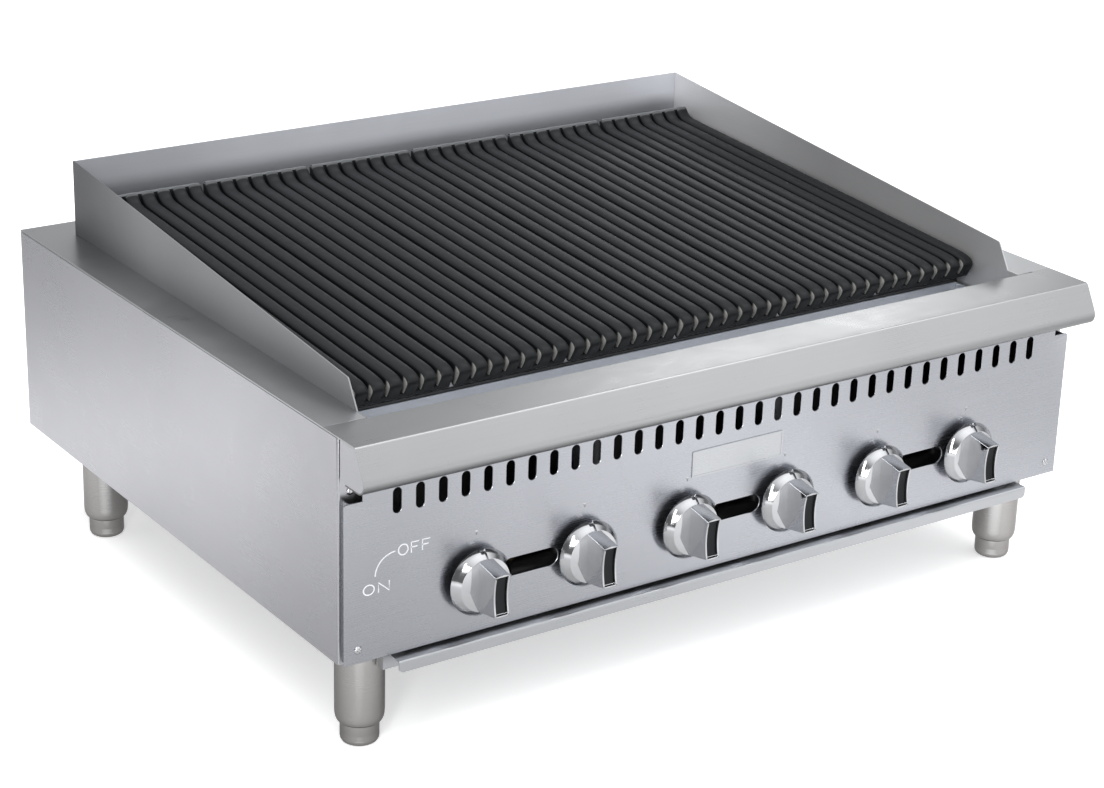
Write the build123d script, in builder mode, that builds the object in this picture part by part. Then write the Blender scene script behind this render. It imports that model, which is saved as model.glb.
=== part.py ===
from build123d import *
import os

os.makedirs("parts", exist_ok=True)

# A counter-top gas charbroiler, 36 in wide, in millimetres.
# +X is to the cook's right, -Y is the front with the knobs and +Z is up.  The origin is on the
# counter, in the middle of the box that holds the whole grill.

# ------------------------------------------------------------------ driving dimensions
WIDTH = 914.0              # across the two side panels
REAR_Y = 366.5             # rear edge of the deck
DECK_Z = 335.0             # top of the deck above the counter
BODY_BASE_Z = 104.0        # lower edge of the side panels
SHEET = 1.2                # light stainless sheet
HEAVY = 1.5                # deck, rail, splash and firebox sheet
BEND = 2.0                 # mid-line radius of a folded corner
GAP = 0.1                  # clearance between sheets that touch on the real grill
SEAM = 0.6                 # open seam between the deck and the side panels

HALF = WIDTH / 2
SIDE_FRONT_Y = REAR_Y - 700
PANEL_Y = REAR_Y - 711     # front face of the control panel
PANEL_BASE_Z = BODY_BASE_Z + 2.7
PANEL_TOP_Z = 300.0
SEAM_Y = REAR_Y - 673      # rear edge of the front ledge
RAIL_EDGE_Y = REAR_Y - 731.4   # top edge of the sloping nose
RAIL_TIP_Y = REAR_Y - 754.5    # where the nose and the underside would meet unrounded
RAIL_BASE_Z = 291.5
RAIL_RADIUS = 11.0

SPLASH_X = 411.4           # outer face of the side splashes
SPLASH_REAR_Y = REAR_Y - 46.5  # front face of the rear splash
SPLASH_TOP_Z = DECK_Z + 84
SPLASH_FRONT_Z = DECK_Z + 28.3
SPLASH_FRONT_Y = REAR_Y - 640
SPLASH_TOE_Y = REAR_Y - 656.7
SPLASH_SKIRT_Z = 306.0     # how far the splashes reach down inside the deck opening

FIREBOX_X = 409.7          # outer face of the firebox side walls
FIREBOX_FRONT_Y = REAR_Y - 580
FIREBOX_REAR_Y = REAR_Y - 72
FIREBOX_BASE_Z = 122.0
FIREBOX_TOP_Z = 303.0
LEDGE_Z = 203.0            # ledges that carry the radiants
LEDGE = 16.0

KNOB_PITCH = 125.0
KNOB_XS = [KNOB_PITCH * (i - 2.5) for i in range(6)]
PAIR_XS = [-2 * KNOB_PITCH, 0.0, 2 * KNOB_PITCH]
KNOB_Z = 163.0
KNOB_STANDOFF = 9.0
SKIRT_R = 34.5
SKIRT_FRONT_R = 27.5
SKIRT_DEPTH = 9.0
GRIP_WIDTH = 16.5
GRIP_DEPTH = 29.0
GRIP_TAPER = 5.4           # how far each end of the grip leans in towards its front
GRIP_END = 1.6             # metal left beyond each end of the insert
GRIP_SAG = 2.6             # hollow of the grip's front face
INSERT_WIDTH = 12.4
INSERT_DEPTH = 2.0
STEM_R = 3.0
RUNNING = 0.05             # radial clearance of a running fit

BAR_PITCH = 19.2
BAR_WIDTH = 15.6
BAR_DEPTH = 20.0
BARS = 7
SECTION_PITCH = 135.8
SECTION_XS = [SECTION_PITCH * (i - 2.5) for i in range(6)]
GRATE_REAR_Y = REAR_Y - 75
GRATE_FRONT_Y = REAR_Y - 585   # where the top surface turns down into the nose
GRATE_FRONT_Z = DECK_Z + 5.2
GRATE_SLOPE = 32.0 / 490

LEG_X = 415.0
LEG_YS = [REAR_Y - 668, REAR_Y - 106]
LEG_R = 24.5
FOOT_R = 19.3
LEG_BASE_Z = 22.0
STUD_R = 6.0

MANIFOLD_Y = REAR_Y - 666.5
MANIFOLD_Z = 133.0
PIPE_R = 13.35             # 3/4 in pipe
PIPE_BORE_R = 10.5
PORT_TOP_Z = 151.0
INLET_X = 432.0
INLET_END_Y = REAR_Y + 25
THREAD_R = 13.0
THREAD_LENGTH = 20.0

TRAY_HALF = 372.0          # half width of the pan
FASCIA_HALF = 410.0
FASCIA_Y = REAR_Y - 703
LIP_Y = REAR_Y - 722
LIP_HALF = 403.5
TRAY_BASE_Z = 88.0
TRAY_TOP_Z = 103.4
CHUTE_XS = [-KNOB_PITCH, KNOB_PITCH]
CHUTE_Y = REAR_Y - 625
CHUTE_R = 15.0

SCREW_R = 2.0
SCREW_HOLE_R = 2.2
CORNER_SCREWS = [(s * 442.0, 121.0) for s in (-1, 1)]
FLANGE_SCREWS = [(s * 443.7, 279.0) for s in (-1, 1)]
BACK_SCREWS = [(x, z) for x in (-405.0, -150.0, 150.0, 405.0) for z in (114.0, 322.0)]


def level(z):
    """A horizontal plane: its axes are X and Y."""
    return Plane.XY.offset(z)


def facing(y):
    """An upright plane seen from the front: its axes are X and Z, and it faces -Y."""
    return Plane.XZ.offset(-y)


def side_on(x):
    """An upright plane seen from the side: its axes are Y and Z, and it faces +X."""
    return Plane.YZ.offset(x)


def fold(plane, corners, length, thickness=SHEET, bend=BEND):
    """Adds a folded sheet: a mid-line through the corners, thickened and extruded."""
    with BuildSketch(plane) as section:
        with BuildLine():
            FilletPolyline(*corners, radius=bend)
        trace(line_width=thickness)
    extrude(section.sketch, amount=length)


def block(low, high, mode=Mode.ADD):
    """Adds or cuts a straight block between two opposite corners."""
    with BuildSketch(level(low[2])) as foot:
        with Locations(((low[0] + high[0]) / 2, (low[1] + high[1]) / 2)):
            Rectangle(high[0] - low[0], high[1] - low[1])
    extrude(foot.sketch, amount=high[2] - low[2], mode=mode)


def back_screw_holes(y):
    """Cuts the holes for the back panel's screws near a depth y."""
    with BuildSketch(facing(y + 2 * HEAVY)) as holes:
        with Locations(*BACK_SCREWS):
            Circle(SCREW_HOLE_R)
    extrude(holes.sketch, amount=4 * HEAVY, mode=Mode.SUBTRACT)


def grate_top(y):
    """Height of the sloping cooking surface at a depth y."""
    return GRATE_FRONT_Z + (y - GRATE_FRONT_Y) * GRATE_SLOPE


# ------------------------------------------------------------------ side and back panels
FLANGE = 25.0
SIDE_TOP_Z = DECK_Z - HEAVY - SEAM
BACK_Y = REAR_Y - SHEET

with BuildPart() as side_panel_left:
    wall_x = -HALF + SHEET / 2
    fold(
        level(BODY_BASE_Z),
        [
            (-HALF + FLANGE, SIDE_FRONT_Y + SHEET / 2),
            (wall_x, SIDE_FRONT_Y + SHEET / 2),
            (wall_x, BACK_Y - GAP),
        ],
        SIDE_TOP_Z - BODY_BASE_Z,
    )
    for flange_z in (BODY_BASE_Z, SIDE_TOP_Z - SHEET):
        block(
            (-HALF + SHEET / 2, SIDE_FRONT_Y + SHEET / 2, flange_z),
            (-HALF + FLANGE, BACK_Y - GAP, flange_z + SHEET),
        )
    with BuildSketch(facing(SIDE_FRONT_Y)):
        with Locations(FLANGE_SCREWS[0], CORNER_SCREWS[0]):
            Circle(SCREW_HOLE_R)
    extrude(amount=-2 * SHEET, mode=Mode.SUBTRACT)
side_panel_left.part.label = "side_panel_left"
export_step(side_panel_left.part, "parts/side_panel_left.step")

with BuildPart() as side_panel_right:
    mirror(side_panel_left.part, about=Plane.YZ)
side_panel_right.part.label = "side_panel_right"
export_step(side_panel_right.part, "parts/side_panel_right.step")

VENT_LENGTH = 60.0
VENT_WIDTH = 8.0
with BuildPart() as back_panel:
    with BuildSketch(facing(REAR_Y)):
        with Locations((0, (BODY_BASE_Z + SIDE_TOP_Z) / 2)):
            Rectangle(WIDTH, SIDE_TOP_Z - BODY_BASE_Z)
        with Locations((0, 250)):
            with GridLocations(VENT_LENGTH + 25, 3 * VENT_WIDTH, 8, 3):
                SlotOverall(VENT_LENGTH, VENT_WIDTH, mode=Mode.SUBTRACT)
        with Locations((INLET_X, MANIFOLD_Z)):
            Circle(PIPE_R + 3, mode=Mode.SUBTRACT)
    extrude(amount=SHEET)
    back_screw_holes(REAR_Y)
back_panel.part.label = "back_panel"
export_step(back_panel.part, "parts/back_panel.step")

# ------------------------------------------------------------------ deck, rail and splashes
OPENING_X = SPLASH_X + GAP
DECK_LIP_Y = BACK_Y - GAP - HEAVY
DECK_LIP_HALF = HALF - FLANGE - 2
OPENING_REAR_Y = SPLASH_REAR_Y + HEAVY + GAP

with BuildPart() as top_deck:
    with BuildSketch(level(DECK_Z - HEAVY)):
        with Locations((0, (REAR_Y + SEAM_Y) / 2)):
            Rectangle(WIDTH, REAR_Y - SEAM_Y)
        with Locations((0, (OPENING_REAR_Y + SEAM_Y) / 2)):
            Rectangle(2 * OPENING_X, OPENING_REAR_Y - SEAM_Y, mode=Mode.SUBTRACT)
    extrude(amount=HEAVY)
    block(
        (-DECK_LIP_HALF, DECK_LIP_Y, DECK_Z - 24),
        (DECK_LIP_HALF, DECK_LIP_Y + HEAVY, DECK_Z - HEAVY),
    )
    back_screw_holes(DECK_LIP_Y)
top_deck.part.label = "top_deck"
export_step(top_deck.part, "parts/top_deck.step")

UNDERSIDE_END_Y = PANEL_Y - 3.0
LEDGE_LIP = 14.0
LEDGE_REAR_Y = SEAM_Y - GAP
EDGE_RADIUS = 2.5


def nose_outline(inset):
    """The rail seen from its left end as a closed shape, shrunk by an inset."""
    with BuildSketch(side_on(-HALF)) as outline:
        with BuildLine() as line:
            Polyline(
                (LEDGE_REAR_Y, DECK_Z),
                (RAIL_EDGE_Y, DECK_Z),
                (RAIL_TIP_Y, RAIL_BASE_Z),
                (LEDGE_REAR_Y, RAIL_BASE_Z),
                close=True,
            )
            front_corners = line.vertices().sort_by(Axis.X)
            fillet(front_corners[0], radius=RAIL_RADIUS)
            fillet(front_corners[1], radius=EDGE_RADIUS)
        make_face()
        if inset:
            offset(amount=-inset)
    return outline.sketch


with BuildPart() as front_rail:
    extrude(nose_outline(0), amount=WIDTH)
    extrude(nose_outline(HEAVY), amount=WIDTH, mode=Mode.SUBTRACT)
    block(
        (-HALF, UNDERSIDE_END_Y, RAIL_BASE_Z - 1),
        (HALF, SEAM_Y, DECK_Z - LEDGE_LIP),
        mode=Mode.SUBTRACT,
    )
    # the rear lip stops clear of the side panels' flanges
    for side in (-1, 1):
        inner, outer = sorted((side * DECK_LIP_HALF, side * HALF))
        block((inner, SIDE_FRONT_Y, RAIL_BASE_Z), (outer, SEAM_Y, DECK_Z - HEAVY), Mode.SUBTRACT)
front_rail.part.label = "front_rail"
export_step(front_rail.part, "parts/front_rail.step")

CAP_GAP = 4.5              # shadow gap between the end caps and the side panels

with BuildPart() as rail_end_caps:
    extrude(nose_outline(HEAVY + GAP), amount=SHEET)
    block(
        (-HALF, SIDE_FRONT_Y - CAP_GAP, RAIL_BASE_Z),
        (-HALF + SHEET, SEAM_Y, DECK_Z),
        mode=Mode.SUBTRACT,
    )
    mirror(about=Plane.YZ)
rail_end_caps.part.label = "rail_end_caps"
export_step(rail_end_caps.part, "parts/rail_end_caps.step")

with BuildPart() as splash_rear:
    skirt_x = SPLASH_X - HEAVY - GAP
    block(
        (-skirt_x, SPLASH_REAR_Y, SPLASH_SKIRT_Z),
        (skirt_x, SPLASH_REAR_Y + HEAVY, SPLASH_TOP_Z),
    )
splash_rear.part.label = "splash_rear"
export_step(splash_rear.part, "parts/splash_rear.step")

SPLASH_END_Y = SPLASH_REAR_Y + HEAVY
SIDE_SKIRT_Z = 286.0       # how far the side splashes reach down past the firebox
with BuildPart() as splash_left:
    with BuildSketch(side_on(-SPLASH_X)):
        with BuildLine() as splash_line:
            Polyline(
                (SEAM_Y, SIDE_SKIRT_Z),
                (SEAM_Y, DECK_Z),
                (SPLASH_TOE_Y, DECK_Z),
                (SPLASH_FRONT_Y, SPLASH_FRONT_Z),
                (SPLASH_END_Y, SPLASH_TOP_Z),
                (SPLASH_END_Y, SIDE_SKIRT_Z),
                close=True,
            )
            fillet(splash_line.vertices().sort_by(Axis.Y)[-2], radius=4)
        make_face()
    extrude(amount=HEAVY)
splash_left.part.label = "splash_left"
export_step(splash_left.part, "parts/splash_left.step")

with BuildPart() as splash_right:
    mirror(splash_left.part, about=Plane.YZ)
splash_right.part.label = "splash_right"
export_step(splash_right.part, "parts/splash_right.step")

# ------------------------------------------------------------------ control panel
LOUVRES = 33
LOUVRE_PITCH = 25.0
LOUVRE_LENGTH = 25.8
LOUVRE_WIDTH = 9.6
LOUVRE_Z = 263.9
VIEW_LENGTH = 65.0
VIEW_HEIGHT = 19.3
VIEW_Z = 165.0
STEM_HOLE_R = 8.0
NOTCH_X = 437.0            # outboard of here the panel stops lower
NOTCH_Z = 271.0
PANEL_HALF = HALF - 0.5
RETURN_INSET = 4.0         # the returns behind the panel stand in from its edges

with BuildPart() as front_panel:
    panel_back_y = PANEL_Y + HEAVY
    return_x = PANEL_HALF - RETURN_INSET
    block(
        (-PANEL_HALF, PANEL_Y, PANEL_BASE_Z),
        (PANEL_HALF, panel_back_y, PANEL_TOP_Z),
    )
    block(
        (-return_x, panel_back_y, PANEL_BASE_Z),
        (return_x, SIDE_FRONT_Y - GAP, PANEL_TOP_Z),
    )
    block(
        (-return_x + HEAVY, panel_back_y, PANEL_BASE_Z + HEAVY),
        (return_x - HEAVY, SIDE_FRONT_Y - GAP, PANEL_TOP_Z),
        mode=Mode.SUBTRACT,
    )
    for side in (-1, 1):
        inner, outer = sorted((side * NOTCH_X, side * HALF))
        block(
            (inner, PANEL_Y, NOTCH_Z),
            (outer, SIDE_FRONT_Y, PANEL_TOP_Z),
            mode=Mode.SUBTRACT,
        )
    with BuildSketch(facing(PANEL_Y)):
        with Locations((0, LOUVRE_Z)):
            with GridLocations(LOUVRE_PITCH, 1, LOUVRES, 1):
                SlotOverall(LOUVRE_LENGTH, LOUVRE_WIDTH, rotation=90)
        with Locations(*[(x, VIEW_Z) for x in PAIR_XS]):
            SlotOverall(VIEW_LENGTH, VIEW_HEIGHT)
        with Locations(*[(x, KNOB_Z) for x in KNOB_XS]):
            Circle(STEM_HOLE_R)
        with Locations(*CORNER_SCREWS):
            Circle(SCREW_HOLE_R)
    extrude(amount=-2 * HEAVY, mode=Mode.SUBTRACT)
front_panel.part.label = "front_panel"
export_step(front_panel.part, "parts/front_panel.step")

PLATE_WIDTH = 115.0
PLATE_HEIGHT = 28.0
PLATE_Z = 225.0
PLATE = 1.0
PLATE_BORDER = 1.6
with BuildPart() as name_plate:
    with BuildSketch(facing(PANEL_Y)):
        with Locations((0, PLATE_Z)):
            RectangleRounded(PLATE_WIDTH, PLATE_HEIGHT, 1.0)
    extrude(amount=PLATE)
    with BuildSketch(facing(PANEL_Y - PLATE)):
        with Locations((0, PLATE_Z)):
            Rectangle(PLATE_WIDTH - 2 * PLATE_BORDER, PLATE_HEIGHT - 2 * PLATE_BORDER)
    extrude(amount=-PLATE / 3, mode=Mode.SUBTRACT)
name_plate.part.label = "name_plate"
export_step(name_plate.part, "parts/name_plate.step")

HEAD_R = 4.4
HEAD_HEIGHT = 2.4
SHANK = 9.0
LONG_SHANK = 16.0
DRIVE_WIDTH = 0.9          # width of the cross recess


def screw_blank(shank):
    """A round-headed screw along Y, its head standing out towards -Y from the origin."""
    with BuildPart() as one_screw:
        with BuildSketch(Plane.XY):
            with BuildLine():
                Line((0, shank), (0, -HEAD_HEIGHT))
                ThreePointArc((0, -HEAD_HEIGHT), (HEAD_R * 0.7, -HEAD_HEIGHT * 0.7), (HEAD_R, 0))
                Polyline((HEAD_R, 0), (SCREW_R, 0), (SCREW_R, shank), (0, shank))
            make_face()
        revolve(axis=Axis.Y)
        with BuildSketch(facing(-HEAD_HEIGHT)):
            Rectangle(HEAD_R, DRIVE_WIDTH)
            Rectangle(DRIVE_WIDTH, HEAD_R)
        extrude(amount=-HEAD_HEIGHT / 2, mode=Mode.SUBTRACT)
    return one_screw.part


long_screw = screw_blank(LONG_SHANK)
short_screw = screw_blank(SHANK)
with BuildPart() as panel_screws:
    with Locations(*[(x, PANEL_Y, z) for x, z in CORNER_SCREWS]):
        add(long_screw)
    with Locations(*[(x, SIDE_FRONT_Y, z) for x, z in FLANGE_SCREWS]):
        add(short_screw)
    with Locations(*[Location((x, REAR_Y, z), (0, 0, 180)) for x, z in BACK_SCREWS]):
        add(short_screw)
panel_screws.part.label = "panel_screws"
export_step(panel_screws.part, "parts/panel_screws.step")

# ------------------------------------------------------------------ knobs and valve stems
SKIRT_Y = PANEL_Y - KNOB_STANDOFF
GRIP_Y = SKIRT_Y - SKIRT_DEPTH
TIP_Y = GRIP_Y - GRIP_DEPTH
STEM_START_Y = PANEL_Y + 34
STEM_END_Y = GRIP_Y - 6

with BuildPart() as knob_blank:
    with BuildSketch(Plane.XY):
        with BuildLine():
            Polyline(
                (0, SKIRT_Y + 2),
                (SKIRT_R - 3, SKIRT_Y + 2),
                (SKIRT_R, SKIRT_Y),
                (SKIRT_FRONT_R, GRIP_Y),
                (0, GRIP_Y),
                close=True,
            )
        make_face()
    revolve(axis=Axis.Y)
    with BuildSketch(facing(GRIP_Y)):
        Circle(SKIRT_FRONT_R)
        Rectangle(GRIP_WIDTH, 3 * SKIRT_R, mode=Mode.INTERSECT)
    extrude(amount=GRIP_DEPTH)
    with BuildSketch(side_on(-GRIP_WIDTH)):
        with BuildLine():
            Polyline(
                (GRIP_Y, SKIRT_FRONT_R),
                (TIP_Y, SKIRT_FRONT_R - GRIP_TAPER),
                (TIP_Y, SKIRT_FRONT_R),
                close=True,
            )
        make_face()
        mirror(about=Plane.XZ)
    extrude(amount=2 * GRIP_WIDTH, mode=Mode.SUBTRACT)
    front_rim = edges().filter_by(lambda e: e.center().Y < TIP_Y + 1)
    fillet(front_rim, radius=0.9)
    # the grip's front is a shallow hollow between its two ends
    with BuildSketch(side_on(-GRIP_WIDTH)):
        with BuildLine():
            reach = SKIRT_FRONT_R - GRIP_TAPER - GRIP_END
            ThreePointArc((TIP_Y, -reach), (TIP_Y + GRIP_SAG, 0), (TIP_Y, reach))
            Line((TIP_Y, reach), (TIP_Y, -reach))
        make_face()
    extrude(amount=2 * GRIP_WIDTH, mode=Mode.SUBTRACT)
    # slot for the black insert
    with BuildSketch(facing(TIP_Y)):
        Rectangle(INSERT_WIDTH, 2 * reach)
    extrude(amount=-INSERT_DEPTH - GRIP_SAG, mode=Mode.SUBTRACT)
    # pointer notch on the skirt at twelve o'clock
    with BuildSketch(facing(SKIRT_Y - SKIRT_DEPTH)):
        with Locations((0, SKIRT_R - 4)):
            Rectangle(2.4, 7)
    extrude(amount=-SKIRT_DEPTH + 3, mode=Mode.SUBTRACT)
    with BuildSketch(facing(SKIRT_Y + 2)):
        Circle(STEM_R + RUNNING)
    extrude(amount=SKIRT_Y + 2 - STEM_END_Y + 0.5, mode=Mode.SUBTRACT)

with BuildPart() as insert_blank:
    with BuildSketch(side_on(-INSERT_WIDTH / 2 + GAP)):
        insert_reach = reach - GAP
        insert_back_y = TIP_Y + GRIP_SAG + INSERT_DEPTH - GAP
        with BuildLine():
            ThreePointArc(
                (TIP_Y + 0.5, -insert_reach), (TIP_Y + GRIP_SAG + 0.5, 0), (TIP_Y + 0.5, insert_reach)
            )
            Polyline(
                (TIP_Y + 0.5, insert_reach),
                (insert_back_y, insert_reach),
                (insert_back_y, -insert_reach),
                (TIP_Y + 0.5, -insert_reach),
            )
        make_face()
    extrude(amount=INSERT_WIDTH - 2 * GAP)

with BuildPart() as stem_blank:
    with BuildSketch(facing(STEM_START_Y)):
        Circle(STEM_R)
    extrude(amount=STEM_START_Y - STEM_END_Y)

for number, knob_x in enumerate(KNOB_XS, start=1):
    with BuildPart() as knob:
        with Locations((knob_x, 0, KNOB_Z)):
            add(knob_blank.part)
    knob.part.label = f"knob_{number}"
    export_step(knob.part, f"parts/knob_{number}.step")

    with BuildPart() as knob_insert:
        with Locations((knob_x, 0, KNOB_Z)):
            add(insert_blank.part)
    knob_insert.part.label = f"knob_insert_{number}"
    export_step(knob_insert.part, f"parts/knob_insert_{number}.step")

    with BuildPart() as valve_stem:
        with Locations((knob_x, 0, KNOB_Z)):
            add(stem_blank.part)
    valve_stem.part.label = f"valve_stem_{number}"
    export_step(valve_stem.part, f"parts/valve_stem_{number}.step")

# ------------------------------------------------------------------ base, legs and feet
RING_Z = BODY_BASE_Z + SHEET + GAP
RING = 2.0
RING_X = HALF - SHEET - 0.5
RING_INNER_X = 370.0
RING_STRIP = 50.0          # width of the ring at the front and rear
RIB_HALF = 417.0
RIB_Z = RING_Z + RING
RING_FRONT_Y = SIDE_FRONT_Y + SHEET + 1
RING_REAR_Y = BACK_Y - 1
MAST_BORE = STUD_R + 0.5
LEG_SPOTS = [(x, y) for x in (-LEG_X, LEG_X) for y in LEG_YS]

with BuildPart() as base_frame:
    with BuildSketch(level(RING_Z)):
        with Locations((0, (RING_FRONT_Y + RING_REAR_Y) / 2)):
            Rectangle(2 * RING_X, RING_REAR_Y - RING_FRONT_Y)
            ring_opening = RING_REAR_Y - RING_FRONT_Y - 2 * RING_STRIP
            Rectangle(2 * RING_INNER_X, ring_opening, mode=Mode.SUBTRACT)
    extrude(amount=RING)
    for rib_y in (RING_FRONT_Y, RING_REAR_Y - HEAVY):
        block((-RIB_HALF, rib_y, RIB_Z), (RIB_HALF, rib_y + HEAVY, RIB_Z + 12))
    back_screw_holes(RING_REAR_Y)
    with BuildSketch(level(BODY_BASE_Z)):
        for leg_x, leg_y in LEG_SPOTS:
            pad_x = leg_x - 4 if leg_x > 0 else leg_x + 4
            with Locations((pad_x, leg_y)):
                Rectangle(38, 44)
    extrude(amount=SHEET + GAP)
    with BuildSketch(level(BODY_BASE_Z)):
        with Locations(*LEG_SPOTS):
            Circle(MAST_BORE)
    extrude(amount=10, mode=Mode.SUBTRACT)
base_frame.part.label = "base_frame"
export_step(base_frame.part, "parts/base_frame.step")

LEG_TOP_Z = BODY_BASE_Z - GAP
LEG_WALL = 1.5
COLLAR_R = FOOT_R + 0.4
INSERT_Z = 60.0
with BuildPart() as leg_blank:
    with BuildSketch(Plane.XZ):
        with BuildLine():
            Polyline(
                (0, LEG_TOP_Z + 9),
                (STUD_R, LEG_TOP_Z + 9),
                (STUD_R, LEG_TOP_Z),
                (LEG_R, LEG_TOP_Z),
                (LEG_R, LEG_BASE_Z + 9),
            )
            ThreePointArc(
                (LEG_R, LEG_BASE_Z + 9),
                (LEG_R - 1.6, LEG_BASE_Z + 3.6),
                (COLLAR_R + 1.2, LEG_BASE_Z),
            )
            Polyline(
                (COLLAR_R + 1.2, LEG_BASE_Z),
                (COLLAR_R, LEG_BASE_Z),
                (COLLAR_R, LEG_BASE_Z + 7),
                (LEG_R - LEG_WALL, LEG_BASE_Z + 12),
                (LEG_R - LEG_WALL, INSERT_Z),
                (STUD_R + RUNNING, INSERT_Z),
                (STUD_R + RUNNING, INSERT_Z + 12),
                (LEG_R - LEG_WALL, INSERT_Z + 12),
                (LEG_R - LEG_WALL, LEG_TOP_Z - 4),
                (0, LEG_TOP_Z - 4),
                (0, LEG_TOP_Z + 9),
            )
        make_face()
    revolve(axis=Axis.Z)
with BuildPart() as leg_tubes:
    with Locations(*[(x, y, 0) for x, y in LEG_SPOTS]):
        add(leg_blank.part)
leg_tubes.part.label = "leg_tubes"
export_step(leg_tubes.part, "parts/leg_tubes.step")

FOOT_TOP_Z = LEG_BASE_Z + 6
STUD_TOP_Z = INSERT_Z + 22
with BuildPart() as foot_blank:
    with BuildSketch(Plane.XZ):
        with BuildLine() as foot_line:
            Polyline(
                (0, 0),
                (FOOT_R, 0),
                (FOOT_R, FOOT_TOP_Z),
                (STUD_R, FOOT_TOP_Z),
                (STUD_R, STUD_TOP_Z),
                (0, STUD_TOP_Z),
                close=True,
            )
            fillet(foot_line.vertices().sort_by(Axis.X)[-2:].sort_by(Axis.Y)[0], radius=4.5)
        make_face()
    revolve(axis=Axis.Z)
FOOT_NAMES = ["foot_front_left", "foot_rear_left", "foot_front_right", "foot_rear_right"]
for foot_name, foot_spot in zip(FOOT_NAMES, LEG_SPOTS):
    with BuildPart() as foot:
        with Locations((*foot_spot, 0)):
            add(foot_blank.part)
    foot.part.label = foot_name
    export_step(foot.part, f"parts/{foot_name}.step")

# ------------------------------------------------------------------ drip tray and its rails
PAN_FRONT_Y = FASCIA_Y + SHEET
PAN_REAR_Y = REAR_Y - 70
PAN_FLANGE_X = 383.0
PAN_FLANGE_Z = 101.2
PAN_BASE_Z = TRAY_BASE_Z + 1

with BuildPart() as drip_tray:
    fold(
        facing(PAN_REAR_Y),
        [
            (-PAN_FLANGE_X, PAN_FLANGE_Z + SHEET / 2),
            (-TRAY_HALF, PAN_FLANGE_Z + SHEET / 2),
            (-TRAY_HALF, PAN_BASE_Z + SHEET / 2),
            (TRAY_HALF, PAN_BASE_Z + SHEET / 2),
            (TRAY_HALF, PAN_FLANGE_Z + SHEET / 2),
            (PAN_FLANGE_X, PAN_FLANGE_Z + SHEET / 2),
        ],
        PAN_REAR_Y - PAN_FRONT_Y,
    )
    block(
        (-TRAY_HALF, PAN_REAR_Y - SHEET, PAN_BASE_Z),
        (TRAY_HALF, PAN_REAR_Y, PAN_FLANGE_Z),
    )
    # wide fascia in front of the legs, with short returns at its ends
    block((-FASCIA_HALF, FASCIA_Y, TRAY_BASE_Z), (FASCIA_HALF, PAN_FRONT_Y, TRAY_TOP_Z))
    for side in (-1, 1):
        near, far = sorted((side * (FASCIA_HALF - SHEET), side * FASCIA_HALF))
        block((near, PAN_FRONT_Y, TRAY_BASE_Z), (far, PAN_FRONT_Y + 8, TRAY_TOP_Z))
    # pull lip: forward along the top of the fascia, then down
    block((-LIP_HALF, LIP_Y, TRAY_TOP_Z - SHEET), (LIP_HALF, FASCIA_Y, TRAY_TOP_Z))
    with BuildSketch(facing(LIP_Y + SHEET)) as lip_face:
        with Locations((0, TRAY_TOP_Z - 6.2)):
            Rectangle(2 * LIP_HALF, 12.4)
        fillet(lip_face.vertices().group_by(Axis.Y)[0], radius=5)
    extrude(amount=SHEET)
drip_tray.part.label = "drip_tray"
export_step(drip_tray.part, "parts/drip_tray.step")

RAIL_X = 385.5
with BuildPart() as tray_rails:
    fold(
        facing(PAN_REAR_Y),
        [
            (RAIL_X - 10, PAN_FLANGE_Z - 0.3 - SHEET / 2),
            (RAIL_X, PAN_FLANGE_Z - 0.3 - SHEET / 2),
            (RAIL_X, BODY_BASE_Z + 0.7),
            (RAIL_X - 10, BODY_BASE_Z + 0.7),
        ],
        PAN_REAR_Y - PAN_FRONT_Y - 12,
        bend=1.2,
    )
    mirror(about=Plane.YZ)
tray_rails.part.label = "tray_rails"
export_step(tray_rails.part, "parts/tray_rails.step")

# ------------------------------------------------------------------ firebox and grease trough
BURNER_Z = KNOB_Z
BURNER_R = 17.0
SIDE_INNER_X = FIREBOX_X - HEAVY
REAR_WALL_Y = FIREBOX_REAR_Y - GAP
SIDE_WALL_REAR_Y = REAR_WALL_Y - HEAVY - GAP
SIDE_WALL_FRONT_Y = FIREBOX_FRONT_Y + HEAVY + GAP
DRIP_FLANGE_X = 366.0
with BuildPart() as firebox_sides:
    fold(
        facing(SIDE_WALL_REAR_Y),
        [
            (FIREBOX_X - HEAVY / 2, FIREBOX_TOP_Z + 15),
            (FIREBOX_X - HEAVY / 2, FIREBOX_BASE_Z + 7),
            (DRIP_FLANGE_X, FIREBOX_BASE_Z + 1),
        ],
        SIDE_WALL_REAR_Y - SIDE_WALL_FRONT_Y,
        HEAVY,
    )
    mirror(about=Plane.YZ)
firebox_sides.part.label = "firebox_sides"
export_step(firebox_sides.part, "parts/firebox_sides.step")

WALL_HALF = SIDE_INNER_X - 2 * GAP
with BuildPart() as firebox_front:
    block(
        (-FIREBOX_X, FIREBOX_FRONT_Y, FIREBOX_BASE_Z),
        (FIREBOX_X, FIREBOX_FRONT_Y + HEAVY, FIREBOX_TOP_Z),
    )
    block(
        (-WALL_HALF, FIREBOX_FRONT_Y + HEAVY, LEDGE_Z),
        (WALL_HALF, FIREBOX_FRONT_Y + LEDGE, LEDGE_Z + HEAVY),
    )
    with BuildSketch(facing(FIREBOX_FRONT_Y)):
        with Locations(*[(x, BURNER_Z) for x in KNOB_XS]):
            Circle(BURNER_R + 1.5)
        with Locations(*[(x, VIEW_Z) for x in PAIR_XS]):
            SlotOverall(VIEW_LENGTH, VIEW_HEIGHT)
    extrude(amount=-2 * HEAVY, mode=Mode.SUBTRACT)
firebox_front.part.label = "firebox_front"
export_step(firebox_front.part, "parts/firebox_front.step")

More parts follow.
